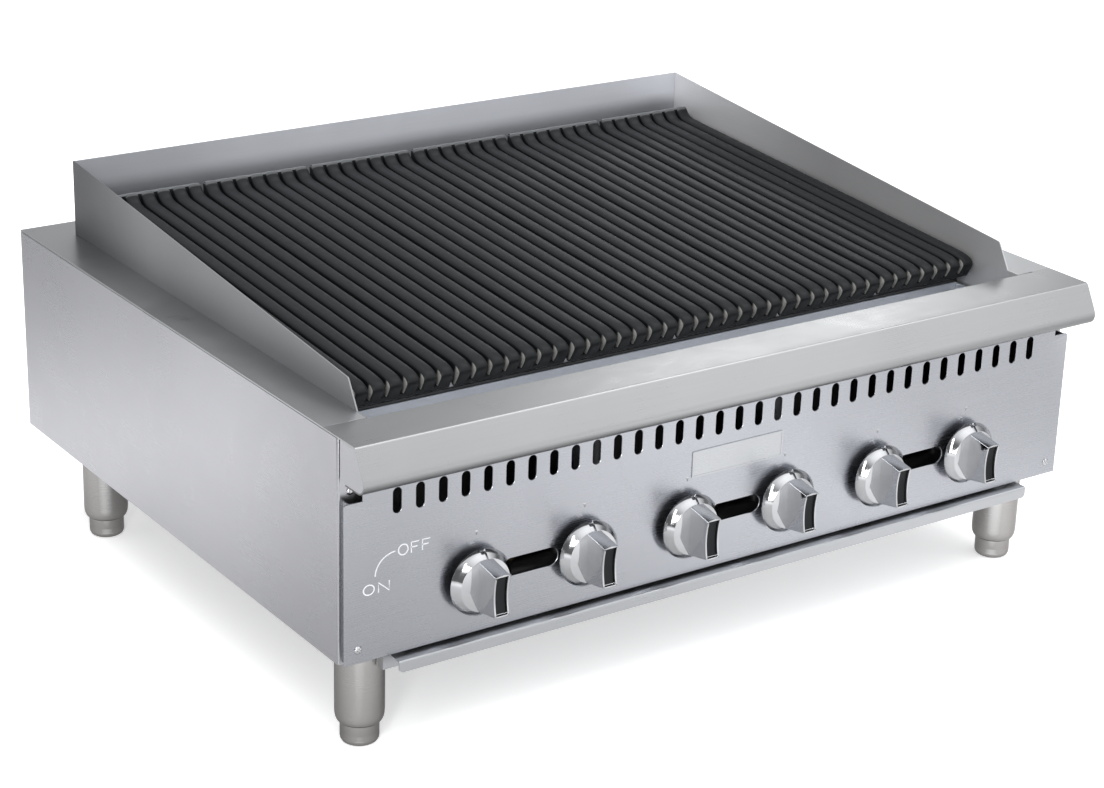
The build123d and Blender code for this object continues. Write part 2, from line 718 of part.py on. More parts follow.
REAR_WALL_TOP_Z = 352.0
with BuildPart() as firebox_rear:
    fold(
        side_on(-FIREBOX_X),
        [
            (REAR_WALL_Y - HEAVY / 2, FIREBOX_BASE_Z),
            (REAR_WALL_Y - HEAVY / 2, REAR_WALL_TOP_Z - HEAVY / 2),
            (SPLASH_REAR_Y - 1, REAR_WALL_TOP_Z - HEAVY / 2),
        ],
        2 * FIREBOX_X,
        HEAVY,
    )
    block(
        (-WALL_HALF, REAR_WALL_Y - LEDGE, LEDGE_Z),
        (WALL_HALF, REAR_WALL_Y - HEAVY, LEDGE_Z + HEAVY),
    )
firebox_rear.part.label = "firebox_rear"
export_step(firebox_rear.part, "parts/firebox_rear.step")

TROUGH_HALF = SIDE_INNER_X - 1
TROUGH_FRONT_Y = SEAM_Y + 3
TROUGH_REAR_Y = FIREBOX_FRONT_Y - GAP
TROUGH_Z = 284.0
with BuildPart() as grease_trough:
    front_mid_y = TROUGH_FRONT_Y + HEAVY / 2
    rear_mid_y = TROUGH_REAR_Y - HEAVY / 2
    fold(
        side_on(-TROUGH_HALF),
        [
            (front_mid_y, DECK_Z - 4),
            (front_mid_y, TROUGH_Z + 4),
            (rear_mid_y, TROUGH_Z),
            (rear_mid_y, FIREBOX_TOP_Z - 3),
        ],
        2 * TROUGH_HALF,
        HEAVY,
    )
    for side in (-1, 1):
        near, far = sorted((side * (TROUGH_HALF - HEAVY), side * TROUGH_HALF))
        block((near, front_mid_y, TROUGH_Z + 4), (far, rear_mid_y, FIREBOX_TOP_Z - 3))
    with BuildSketch(level(PAN_FLANGE_Z + 15)):
        with Locations(*[(x, CHUTE_Y) for x in CHUTE_XS]):
            Circle(CHUTE_R)
    extrude(amount=TROUGH_Z - PAN_FLANGE_Z - 13)
    with BuildSketch(level(PAN_FLANGE_Z + 10)):
        with Locations(*[(x, CHUTE_Y) for x in CHUTE_XS]):
            Circle(CHUTE_R - HEAVY)
    extrude(amount=TROUGH_Z - PAN_FLANGE_Z + 5, mode=Mode.SUBTRACT)
grease_trough.part.label = "grease_trough"
export_step(grease_trough.part, "parts/grease_trough.step")

# Grate rests: upright bars that touch the underside of the grates
REST = 8.0
FRONT_REST_Y = FIREBOX_FRONT_Y + HEAVY + GAP
REAR_REST_Y = REAR_WALL_Y - HEAVY - GAP - REST
with BuildPart() as grate_supports:
    for rest_y, low_z in ((FRONT_REST_Y, FIREBOX_TOP_Z - 22), (REAR_REST_Y, REAR_WALL_TOP_Z - 30)):
        underside = grate_top(rest_y) - BAR_DEPTH - 0.4
        block(
            (-WALL_HALF + 1, rest_y, low_z),
            (WALL_HALF - 1, rest_y + REST, underside),
        )
grate_supports.part.label = "grate_supports"
export_step(grate_supports.part, "parts/grate_supports.step")

# ------------------------------------------------------------------ grates
NOSE_Y = REAR_Y - 610
NOSE_Z = DECK_Z - 5
TOE_Z = DECK_Z - 22.5
RISER = 9.0                # height of the raised rear end of each bar
CROSS_RIBS = [FIREBOX_FRONT_Y + 30, -70.0, 100.0, GRATE_REAR_Y - 32]

with BuildPart() as bar_blank:
    with BuildSketch(side_on(-BAR_WIDTH / 2)):
        rear_top = grate_top(GRATE_REAR_Y)
        with BuildLine() as bar_line:
            Polyline(
                (GRATE_FRONT_Y, GRATE_FRONT_Z),
                (GRATE_REAR_Y - 9, grate_top(GRATE_REAR_Y - 9)),
                (GRATE_REAR_Y - 4, rear_top + RISER),
                (GRATE_REAR_Y, rear_top + RISER),
                (GRATE_REAR_Y, rear_top - BAR_DEPTH),
                (GRATE_FRONT_Y + 6, grate_top(GRATE_FRONT_Y + 6) - BAR_DEPTH),
                (NOSE_Y + 14, TOE_Z),
                (NOSE_Y + 9, TOE_Z),
                (NOSE_Y, NOSE_Z),
            )
            ThreePointArc(
                (NOSE_Y, NOSE_Z),
                (NOSE_Y + 8.5, NOSE_Z + 7.4),
                (GRATE_FRONT_Y, GRATE_FRONT_Z),
            )
        make_face()
    extrude(amount=BAR_WIDTH)
    ridge = edges().filter_by(lambda e: abs(abs(e.center().X) - BAR_WIDTH / 2) < 0.01)
    crown = ridge.filter_by(lambda e: e.center().Z > grate_top(e.center().Y) - BAR_DEPTH / 2)
    fillet(crown.filter_by(lambda e: e.length > 20), radius=3.6)

with BuildPart() as grate_blank:
    with Locations(*[(BAR_PITCH * (i - 3), 0, 0) for i in range(BARS)]):
        add(bar_blank.part)
    rib_half = BAR_PITCH * 3
    for rib_y in CROSS_RIBS:
        rib_top = grate_top(rib_y) - 9
        block((-rib_half, rib_y - 4, rib_top - 10.5), (rib_half, rib_y + 4, rib_top))
    # strips that join the raised rear ends and the toes
    crest = rear_top + RISER
    block((-rib_half - 6.5, GRATE_REAR_Y - 4, crest - 14), (rib_half + 6.5, GRATE_REAR_Y, crest))
    block((-rib_half - 6, NOSE_Y + 9, TOE_Z), (rib_half + 6, NOSE_Y + 14, TOE_Z + 5))

for number, section_x in enumerate(SECTION_XS, start=1):
    with BuildPart() as grate:
        with Locations((section_x, 0, 0)):
            add(grate_blank.part)
    grate.part.label = f"grate_{number}"
    export_step(grate.part, f"parts/grate_{number}.step")

# ------------------------------------------------------------------ burners and radiants
BURNER_FRONT_Y = FIREBOX_FRONT_Y - 56
BURNER_REAR_Y = REAR_WALL_Y - LEDGE - 6
BURNER_WALL = 3.5
BELL_R = 24.0
BELL_LENGTH = 20.0
PORTS = 14
with BuildPart() as burner_blank:
    with BuildSketch(Plane.XY):
        with BuildLine():
            Polyline(
                (BELL_R - BURNER_WALL, BURNER_FRONT_Y),
                (BELL_R, BURNER_FRONT_Y),
                (BURNER_R, BURNER_FRONT_Y + BELL_LENGTH),
                (BURNER_R, BURNER_REAR_Y),
                (0, BURNER_REAR_Y),
                (0, BURNER_REAR_Y - 5),
                (BURNER_R - BURNER_WALL, BURNER_REAR_Y - 5),
                (BURNER_R - BURNER_WALL, BURNER_FRONT_Y + BELL_LENGTH),
                close=True,
            )
        make_face()
    revolve(axis=Axis.Y)
    with BuildSketch(level(0)):
        with Locations((0, (FIREBOX_FRONT_Y + BURNER_REAR_Y) / 2)):
            with GridLocations(BURNER_R, 30, 2, PORTS):
                Circle(1.6)
    extrude(amount=BURNER_R + 1, mode=Mode.SUBTRACT)
with BuildPart() as burners:
    with Locations(*[(x, 0, BURNER_Z) for x in KNOB_XS]):
        add(burner_blank.part)
burners.part.label = "burners"
export_step(burners.part, "parts/burners.step")

REST_BAR_Y = BURNER_REAR_Y - 24
with BuildPart() as burner_rest:
    block(
        (-WALL_HALF + 1, REST_BAR_Y, BURNER_Z - BURNER_R - 14),
        (WALL_HALF - 1, REST_BAR_Y + 3, BURNER_Z - BURNER_R + 6),
    )
    with BuildSketch(facing(REST_BAR_Y)):
        with Locations(*[(x, BURNER_Z) for x in KNOB_XS]):
            Circle(BURNER_R + GAP)
    extrude(amount=-6, mode=Mode.SUBTRACT)
burner_rest.part.label = "burner_rest"
export_step(burner_rest.part, "parts/burner_rest.step")

RADIANT_HALF = 42.0
RADIANT_RISE = 42.0
RADIANT_REAR_Y = REAR_WALL_Y - HEAVY - 3
RADIANT_FRONT_Y = FIREBOX_FRONT_Y + HEAVY + 3
RADIANT_Z = LEDGE_Z + HEAVY + GAP
with BuildPart() as radiant_blank:
    with BuildSketch(facing(RADIANT_REAR_Y)):
        with BuildLine():
            Polyline(
                (-RADIANT_HALF, RADIANT_Z),
                (0, RADIANT_Z + RADIANT_RISE),
                (RADIANT_HALF, RADIANT_Z),
                (RADIANT_HALF - 2.2, RADIANT_Z),
                (0, RADIANT_Z + RADIANT_RISE - 2.2),
                (-RADIANT_HALF + 2.2, RADIANT_Z),
                close=True,
            )
        make_face()
    extrude(amount=RADIANT_REAR_Y - RADIANT_FRONT_Y)
with BuildPart() as radiants:
    with Locations(*[(x, 0, 0) for x in KNOB_XS]):
        add(radiant_blank.part)
radiants.part.label = "radiants"
export_step(radiants.part, "parts/radiants.step")

# ------------------------------------------------------------------ gas train
MANIFOLD_LEFT_X = -KNOB_XS[-1] - 60
with BuildPart() as gas_manifold:
    with BuildSketch(side_on(MANIFOLD_LEFT_X)):
        with Locations((MANIFOLD_Y, MANIFOLD_Z)):
            Circle(PIPE_R)
    extrude(amount=INLET_X - PIPE_R - 6 - MANIFOLD_LEFT_X)
    with BuildSketch(level(MANIFOLD_Z)):
        with Locations(*[(x, MANIFOLD_Y) for x in KNOB_XS + PAIR_XS]):
            Circle(7.5)
    extrude(amount=PORT_TOP_Z - MANIFOLD_Z)
    with BuildSketch(side_on(MANIFOLD_LEFT_X + 6)):
        with Locations((MANIFOLD_Y, MANIFOLD_Z)):
            Circle(PIPE_BORE_R)
    extrude(amount=INLET_X - MANIFOLD_LEFT_X, mode=Mode.SUBTRACT)
    with BuildSketch(level(MANIFOLD_Z)):
        with Locations(*[(x, MANIFOLD_Y) for x in KNOB_XS + PAIR_XS]):
            Circle(4)
    extrude(amount=PORT_TOP_Z - MANIFOLD_Z, mode=Mode.SUBTRACT)
gas_manifold.part.label = "gas_manifold"
export_step(gas_manifold.part, "parts/gas_manifold.step")

with BuildPart() as inlet_pipe:
    elbow_start_x = INLET_X - PIPE_R - 6 + GAP
    with BuildLine() as pipe_run:
        FilletPolyline(
            (elbow_start_x, MANIFOLD_Y, MANIFOLD_Z),
            (INLET_X, MANIFOLD_Y, MANIFOLD_Z),
            (INLET_X, INLET_END_Y, MANIFOLD_Z),
            radius=PIPE_R + 4,
        )
    with BuildSketch(side_on(elbow_start_x)):
        with Locations((MANIFOLD_Y, MANIFOLD_Z)):
            Circle(PIPE_R)
            Circle(PIPE_BORE_R, mode=Mode.SUBTRACT)
    sweep(path=pipe_run.line)
    # the free end, turned down for its thread
    with BuildSketch(facing(INLET_END_Y)):
        with Locations((INLET_X, MANIFOLD_Z)):
            Circle(PIPE_R + 1)
            Circle(THREAD_R, mode=Mode.SUBTRACT)
    extrude(amount=THREAD_LENGTH, mode=Mode.SUBTRACT)
inlet_pipe.part.label = "inlet_pipe"
export_step(inlet_pipe.part, "parts/inlet_pipe.step")

with BuildPart() as manifold_brackets:
    with BuildSketch(side_on(-KNOB_PITCH - 6)):
        with Locations((MANIFOLD_Y, MANIFOLD_Z)):
            Circle(PIPE_R + 3.5)
        bracket_base_z = RING_Z + RING + GAP
        with Locations((MANIFOLD_Y, (bracket_base_z + MANIFOLD_Z) / 2)):
            Rectangle(16, MANIFOLD_Z - bracket_base_z)
        with Locations((MANIFOLD_Y, bracket_base_z + 1.5)):
            Rectangle(34, 3)
        with Locations((MANIFOLD_Y, MANIFOLD_Z)):
            Circle(PIPE_R + GAP, mode=Mode.SUBTRACT)
    extrude(amount=12)
    mirror(about=Plane.YZ)
manifold_brackets.part.label = "manifold_brackets"
export_step(manifold_brackets.part, "parts/manifold_brackets.step")

VALVE_FRONT_Y = PANEL_Y + 14
VALVE_REAR_Y = MANIFOLD_Y + 16
with BuildPart() as valve_blank:
    with BuildSketch(facing(VALVE_REAR_Y)):
        Circle(11.5)
    extrude(amount=VALVE_REAR_Y - VALVE_FRONT_Y - 14)
    with BuildSketch(facing(VALVE_REAR_Y)):
        Circle(7.5)
    extrude(amount=VALVE_REAR_Y - VALVE_FRONT_Y)
    with BuildSketch(level(PORT_TOP_Z + GAP - KNOB_Z)):
        with Locations((0, MANIFOLD_Y)):
            Circle(6)
    extrude(amount=KNOB_Z - PORT_TOP_Z)
    with BuildSketch(facing(STEM_START_Y + 0.5)):
        Circle(STEM_R + RUNNING)
    extrude(amount=STEM_START_Y - VALVE_FRONT_Y + 2, mode=Mode.SUBTRACT)
with BuildPart() as gas_valves:
    with Locations(*[(x, 0, KNOB_Z) for x in KNOB_XS]):
        add(valve_blank.part)
gas_valves.part.label = "gas_valves"
export_step(gas_valves.part, "parts/gas_valves.step")

ORIFICE_LENGTH = 12.0
with BuildPart() as orifices:
    with BuildSketch(facing(VALVE_REAR_Y + GAP + ORIFICE_LENGTH)):
        with Locations(*[(x, KNOB_Z) for x in KNOB_XS]):
            RegularPolygon(6, 6)
    extrude(amount=ORIFICE_LENGTH)
    with BuildSketch(facing(VALVE_REAR_Y + GAP + ORIFICE_LENGTH)):
        with Locations(*[(x, KNOB_Z) for x in KNOB_XS]):
            Circle(1.2)
    extrude(amount=ORIFICE_LENGTH, mode=Mode.SUBTRACT)
orifices.part.label = "orifices"
export_step(orifices.part, "parts/orifices.step")

PILOT_Z = PORT_TOP_Z + 9
TUBE_R = 3.0
PILOT_Y = FIREBOX_FRONT_Y + 22
with BuildPart() as pilot_valves:
    for pilot_x in PAIR_XS:
        block(
            (pilot_x - 7, MANIFOLD_Y - 9, PORT_TOP_Z + GAP),
            (pilot_x + 7, MANIFOLD_Y + 9, PORT_TOP_Z + 18),
        )
    with BuildSketch(facing(MANIFOLD_Y - 9)):
        with Locations(*[(x, PILOT_Z) for x in PAIR_XS]):
            Circle(4)
    extrude(amount=4)
pilot_valves.part.label = "pilot_valves"
export_step(pilot_valves.part, "parts/pilot_valves.step")

with BuildPart() as tube_blank:
    with BuildLine() as tube_run:
        FilletPolyline(
            (0, MANIFOLD_Y + 9 + GAP, PILOT_Z),
            (0, MANIFOLD_Y + 26, PILOT_Z),
            (0, FIREBOX_FRONT_Y - 20, VIEW_Z + 2),
            (0, PILOT_Y - 6, VIEW_Z + 2),
            radius=8,
        )
    with BuildSketch(facing(MANIFOLD_Y + 9 + GAP)):
        with Locations((0, PILOT_Z)):
            Circle(TUBE_R)
    sweep(path=tube_run.line)
with BuildPart() as pilot_tubes:
    with Locations(*[(x, 0, 0) for x in PAIR_XS]):
        add(tube_blank.part)
pilot_tubes.part.label = "pilot_tubes"
export_step(pilot_tubes.part, "parts/pilot_tubes.step")

with BuildPart() as pilot_burners:
    for pilot_x in PAIR_XS:
        block(
            (pilot_x - 6, PILOT_Y - 6 + GAP, VIEW_Z - 5),
            (pilot_x + 6, PILOT_Y + 8, VIEW_Z + 10),
        )
    with BuildSketch(side_on(PAIR_XS[0] - 20)):
        with Locations((PILOT_Y + 1, VIEW_Z + 5)):
            Circle(2.5)
    extrude(amount=PAIR_XS[-1] - PAIR_XS[0] + 40, mode=Mode.SUBTRACT)
pilot_burners.part.label = "pilot_burners"
export_step(pilot_burners.part, "parts/pilot_burners.step")
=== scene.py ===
import math

import bmesh
import bpy
from mathutils import Matrix, Vector, noise
from mathutils.geometry import tessellate_polygon


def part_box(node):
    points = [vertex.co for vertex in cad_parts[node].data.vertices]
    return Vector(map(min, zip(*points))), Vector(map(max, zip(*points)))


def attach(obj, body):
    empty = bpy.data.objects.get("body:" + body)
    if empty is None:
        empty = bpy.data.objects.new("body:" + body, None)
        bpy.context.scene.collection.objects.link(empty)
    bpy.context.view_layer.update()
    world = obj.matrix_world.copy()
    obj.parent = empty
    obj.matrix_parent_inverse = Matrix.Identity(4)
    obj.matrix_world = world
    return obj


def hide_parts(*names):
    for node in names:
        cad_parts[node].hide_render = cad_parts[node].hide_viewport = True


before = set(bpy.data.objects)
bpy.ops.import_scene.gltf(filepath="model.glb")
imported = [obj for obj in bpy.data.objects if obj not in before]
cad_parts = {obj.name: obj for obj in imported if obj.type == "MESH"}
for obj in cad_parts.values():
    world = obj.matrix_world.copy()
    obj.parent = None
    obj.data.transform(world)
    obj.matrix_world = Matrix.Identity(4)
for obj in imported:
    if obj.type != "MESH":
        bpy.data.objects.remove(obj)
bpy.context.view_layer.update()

MM = 0.001
ROOT = "chassis"
NOISE_SEED = 7
noise.seed_set(NOISE_SEED)


# ------------------------------------------------------------------ mesh helpers
def node_box(node):
    """A CAD node's lowest and highest corners in millimetres."""
    low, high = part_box(node)
    return [v / MM for v in low], [v / MM for v in high]


def join(*shapes):
    """Several (vertices, faces) shapes as one."""
    verts, faces = [], []
    for shape_verts, shape_faces in shapes:
        start = len(verts)
        verts += shape_verts
        faces += [[i + start for i in face] for face in shape_faces]
    return verts, faces


def flipped_x(shape):
    """The mirror image about the plane x = 0."""
    return [(-x, y, z) for x, y, z in shape[0]], [face[::-1] for face in shape[1]]


def add_piece(name, shape, material, body=ROOT, nodes=(), sharp=32.0):
    """Makes a Blender object from a shape in millimetres, and hangs it on its body."""
    verts, faces = shape
    mesh = bpy.data.meshes.new(name)
    mesh.from_pydata([(x * MM, y * MM, z * MM) for x, y, z in verts], [], faces)
    bm = bmesh.new()
    bm.from_mesh(mesh)
    bmesh.ops.remove_doubles(bm, verts=bm.verts, dist=1e-6)
    bmesh.ops.recalc_face_normals(bm, faces=bm.faces)
    limit = math.radians(sharp)
    for face in bm.faces:
        face.smooth = True
    for edge in bm.edges:
        edge.smooth = edge.calc_face_angle(math.pi) < limit
    bm.to_mesh(mesh)
    bm.free()
    mesh.materials.append(material)
    piece = bpy.data.objects.new(name, mesh)
    bpy.context.scene.collection.objects.link(piece)
    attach(piece, body)
    if nodes:
        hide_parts(*nodes)
    return piece


def bevel(piece, width, segments=2, angle=35.0):
    """Rounds a piece's sharp edges, so that they catch the light."""
    modifier = piece.modifiers.new("edges", "BEVEL")
    modifier.width = width * MM
    modifier.segments = segments
    modifier.limit_method = "ANGLE"
    modifier.angle_limit = math.radians(angle)
    modifier.harden_normals = True
    modifier.use_clamp_overlap = True
    return piece


def place(axis, a, b, along):
    """A point of a section: (a, b) across an axis, at a distance along it."""
    if axis == "X":
        return (along, a, b)
    if axis == "Y":
        return (a, along, b)
    return (a, b, along)


def extruded(outline, axis, start, end):
    """A closed outline pushed along an axis."""
    count = len(outline)
    verts = [place(axis, a, b, start) for a, b in outline]
    verts += [place(axis, a, b, end) for a, b in outline]
    faces = [[i, (i + 1) % count, count + (i + 1) % count, count + i] for i in range(count)]
    faces += [list(range(count))[::-1], list(range(count, 2 * count))]
    return verts, faces


def box_shape(low, high):
    (x0, y0, z0), (x1, y1, z1) = low, high
    return extruded([(x0, y0), (x1, y0), (x1, y1), (x0, y1)], "Z", z0, z1)


def rounded_path(corners, radii, steps):
    """Points and directions along an open line whose inner corners are rounded."""
    points = []
    first, last = Vector(corners[0]), Vector(corners[-1])
    points.append((first, (Vector(corners[1]) - first).normalized()))
    for i in range(1, len(corners) - 1):
        before, corner, after = (Vector(corners[i + k]) for k in (-1, 0, 1))
        into, out = (corner - before).normalized(), (after - corner).normalized()
        turn = math.atan2(into.x * out.y - into.y * out.x, into.dot(out))
        radius = radii[i - 1]
        reach = radius * math.tan(abs(turn) / 2)
        side = 1.0 if turn > 0 else -1.0
        centre = corner - into * reach + Vector((-into.y, into.x)) * side * radius
        for k in range(steps + 1):
            spin = Matrix.Rotation(turn * k / steps, 2)
            heading = spin @ into
            points.append((centre - Vector((-heading.y, heading.x)) * side * radius, heading))
    points.append((last, (last - Vector(corners[-2])).normalized()))
    return points


def folded(corners, thickness, radii, steps=6):
    """The outline of a folded sheet whose mid-line runs through the corners."""
    if not isinstance(radii, (list, tuple)):
        radii = [radii] * (len(corners) - 2)
    path = rounded_path(corners, radii, steps)
    half = thickness / 2
    left = [(p.x - d.y * half, p.y + d.x * half) for p, d in path]
    right = [(p.x + d.y * half, p.y - d.x * half) for p, d in path]
    return left + right[::-1]


def turned(profile, axis, centre, angles):
    """A profile of (radius, height) points turned round an axis through a centre."""
    verts, faces = [], []
    rows = len(profile)
    for angle in angles:
        for radius, height in profile:
            a, b = radius * math.cos(angle), radius * math.sin(angle)
            spot = place(axis, a, b, height)
            verts.append(tuple(spot[k] + centre[k] for k in range(3)))
    count = len(angles)
    for i in range(count):
        j = (i + 1) % count
        for k in range(rows - 1):
            faces.append([i * rows + k, j * rows + k, j * rows + k + 1, i * rows + k + 1])
    return verts, faces


def even_angles(count):
    return [2 * math.pi * i / count for i in range(count)]


def slot_loop(cx, cz, length, width, upright, steps=8):
    """A round-ended slot as a function of how much it is grown."""

    def loop(grow):
        radius = width / 2 + grow
        reach = (length - width) / 2
        points = []
        for end in (1, -1):
            for k in range(steps + 1):
                angle = math.pi * (k / steps - 0.5) + (0 if end > 0 else math.pi)
                along, across = end * reach + radius * math.cos(angle), radius * math.sin(angle)
                points.append((cx - across, cz + along) if upright else (cx + along, cz + across))
        return points

    return loop


def circle_loop(cx, cz, radius, steps=24):
    def loop(grow):
        turns = [2 * math.pi * i / steps for i in range(steps)]
        return [(cx + (radius + grow) * math.cos(t), cz + (radius + grow) * math.sin(t)) for t in turns]

    return loop


def pierced_plate(outline, holes, front, thickness, chamfer):
    """An upright plate facing -Y with chamfered holes; outline and holes are loop functions."""
    loops = [outline] + holes
    signs = [-1] + [1] * len(holes)
    verts, faces = [], []

    def layer(grow, y, fill):
        starts = []
        flat = []
        for loop, sign in zip(loops, signs):
            points = loop(sign * grow)
            starts.append(len(verts))
            verts.extend((x, y, z) for x, z in points)
            flat.append([Vector((x, z, 0)) for x, z in points])
        if fill:
            base = starts[0]
            faces.extend([base + i for i in tri] for tri in tessellate_polygon(flat))
        return starts

    layers = [
        layer(chamfer, front, True),
        layer(0, front + chamfer, False),
        layer(0, front + thickness, True),
    ]
    for near, far in zip(layers, layers[1:]):
        for index, loop in enumerate(loops):
            count = len(loop(0))
            for i in range(count):
                j = (i + 1) % count
                faces.append([near[index] + i, near[index] + j, far[index] + j, far[index] + i])
    return verts, faces


def curve_points(points, steps):
    """A smooth line through points, as a Catmull-Rom spline."""
    padded = [points[0]] + list(points) + [points[-1]]
    line = []
    for i in range(1, len(padded) - 2):
        p0, p1, p2, p3 = (Vector(padded[i + k]) for k in (-1, 0, 1, 2))
        for k in range(steps):
            t = k / steps
            line.append(
                0.5
                * (
                    2 * p1
                    + (p2 - p0) * t
                    + (2 * p0 - 5 * p1 + 4 * p2 - p3) * t * t
                    + (3 * p1 - p0 - 3 * p2 + p3) * t**3
                )
            )
    line.append(Vector(points[-1]))
    return line


# ------------------------------------------------------------------ materials
def new_material(name):
    material = bpy.data.materials.new(name)
    material.use_nodes = True
    return material, material.node_tree, material.node_tree.nodes["Principled BSDF"]


def make(tree, kind, inputs=None, **settings):
    """Adds a node; inputs are numbers, vectors or other nodes' sockets."""
    node = tree.nodes.new(kind)
    for key, value in settings.items():
        setattr(node, key, value)
    for key, value in (inputs or {}).items():
        socket = node.inputs[key]
        if isinstance(key, str):
            socket = next(i for i in node.inputs if i.name == key and i.enabled)
        if isinstance(value, bpy.types.NodeSocket):
            tree.links.new(value, socket)
        else:
            socket.default_value = value
    return node


def math_node(tree, operation, *values):
    inputs = dict(enumerate(values))
    return make(tree, "ShaderNodeMath", inputs, operation=operation).outputs[0]


def noise_node(tree, coords, scale, detail=3.0, roughness=0.55, distortion=0.0):
    inputs = {
        "Vector": coords,
        "Scale": scale,
        "Detail": detail,
        "Roughness": roughness,
        "Distortion": distortion,
    }
    return make(tree, "ShaderNodeTexNoise", inputs).outputs["Fac"]


def ramp(tree, value, *stops):
    """A colour ramp; each stop is (position, (r, g, b))."""
    node = make(tree, "ShaderNodeValToRGB", {"Fac": value})
    elements = node.color_ramp.elements
    while len(elements) < len(stops):
        elements.new(0.5)
    for element, (position, color) in zip(elements, stops):
        element.position = position
        element.color = (*color, 1)
    return node.outputs["Color"]


def span(tree, value, low, high, start=0.0, end=1.0, curve="LINEAR"):
    """Maps a value from start..end to low..high."""
    inputs = {"Value": value, "From Min": start, "From Max": end, "To Min": low, "To Max": high}
    return make(tree, "ShaderNodeMapRange", inputs, interpolation_type=curve).outputs["Result"]


def weighted(tree, first, first_weight, second, second_weight):
    """The sum of two values, each times its weight."""
    first = math_node(tree, "MULTIPLY", first, first_weight)
    second = math_node(tree, "MULTIPLY", second, second_weight)
    return math_node(tree, "ADD", first, second)


def vector_node(tree, operation, inputs, output="Vector"):
    return make(tree, "ShaderNodeVectorMath", inputs, operation=operation).outputs[output]


def bump_node(tree, strength, distance, height):
    inputs = {"Strength": strength, "Distance": distance, "Height": height}
    return make(tree, "ShaderNodeBump", inputs).outputs["Normal"]


def mix_color(tree, factor, first, second):
    inputs = {"Factor": factor, "A": first, "B": second}
    node = make(tree, "ShaderNodeMix", inputs, data_type="RGBA")
    return next(o for o in node.outputs if o.enabled)


def scaled(color, factor):
    return tuple(min(1.0, c * factor) for c in color)


def steel(
    name,
    color,
    rough=0.3,
    grain="X",
    anisotropic=0.45,
    streaks=0.025,
    smudges=0.02,
    bump=0.05,
    metallic=1.0,
    painted_shades=(),
):
    """Satin stainless: fine lines along the grain, faint smudges and finger-wiped patches.

    The grain is an axis, or "ring" for a turned part whose lines run round the Z axis; a ring part also
    gets a painted reflection, a stripe in the base colour, bright where the surface faces the viewer
    and dark at its flanks.
    Each painted shade is (axis, where it is dark, where it is full, how dark), in metres: the base
    colour is darkened smoothly towards one end, painted shade standing in for shadows and darker
    reflections.
    """
    material, tree, bsdf = new_material(name)
    coords = make(tree, "ShaderNodeTexCoord").outputs["Object"]
    ring = grain == "ring"
    axis = 2 if ring else "XYZ".index(grain)
    direction = [0.05, 0.04, 0.08]
    direction[axis] = 1.0

    def grain_lines(across, along, detail):
        stretch = [along, along, along] if ring else [across, across, across]
        stretch[axis] = across if ring else along
        lines_at = make(tree, "ShaderNodeMapping", {"Vector": coords, "Scale": stretch}).outputs[0]
        return noise_node(tree, lines_at, 1.0, detail, 0.6)

    fine = grain_lines(2600.0, 22.0, 2.0)
    broad = grain_lines(420.0, 3.5, 3.0)
    lines = weighted(tree, fine, 0.65, broad, 0.35)
    patches = noise_node(tree, coords, 5.0, 3.0, 0.5, 0.4)
    wipes = noise_node(tree, coords, 16.0, 3.0, 0.5, 1.2)
    tone = weighted(tree, lines, 0.5, patches, 0.5)
    tint = ramp(tree, tone, (0.35, scaled(color, 0.96)), (0.65, scaled(color, 1.04)))
    dull = math_node(
        tree,
        "ADD",
        span(tree, lines, rough - streaks, rough + streaks, 0.35, 0.65),
        math_node(
            tree,
            "ADD",
            span(tree, patches, -smudges, smudges, 0.3, 0.7),
            span(tree, wipes, -smudges, smudges, 0.35, 0.65),
        ),
    )
    normal = bump_node(tree, bump, 0.00006, lines)
    surface = make(tree, "ShaderNodeNewGeometry").outputs["Normal"]
    tangent = vector_node(tree, "CROSS_PRODUCT", {0: surface, 1: direction})
    # painted shade: darkens the base colour smoothly along one axis
    for along, dark_at, full_at, low in painted_shades:
        spot = make(tree, "ShaderNodeSeparateXYZ", {"Vector": coords}).outputs[along]
        level = span(tree, spot, low, 1.0, dark_at, full_at, "SMOOTHSTEP")
        tint = vector_node(tree, "SCALE", {0: tint, "Scale": level})
    if ring:
        tangent = vector_node(tree, "CROSS_PRODUCT", {0: tangent, 1: surface})
        # painted reflection: a stripe set by how squarely the surface faces the viewer, bright in the
        # middle and dark at the flanks
        facing = make(tree, "ShaderNodeLayerWeight", {"Blend": 0.5}).outputs["Facing"]
        painted_reflection_stripe = ramp(
            tree,
            facing,
            (0.03, (1.0, 1.0, 1.0)),
            (0.08, (0.88, 0.88, 0.88)),
            (0.14, (0.6, 0.59, 0.58)),
            (0.4, (0.48, 0.465, 0.455)),
            (0.8, (0.28, 0.265, 0.255)),
        )
        tint = vector_node(tree, "MULTIPLY", {0: tint, 1: painted_reflection_stripe})
    bsdf.inputs["Metallic"].default_value = metallic
    bsdf.inputs["Anisotropic"].default_value = anisotropic
    tree.links.new(tangent, bsdf.inputs["Tangent"])
    tree.links.new(tint, bsdf.inputs["Base Color"])
    tree.links.new(dull, bsdf.inputs["Roughness"])
    tree.links.new(normal, bsdf.inputs["Normal"])
    return material


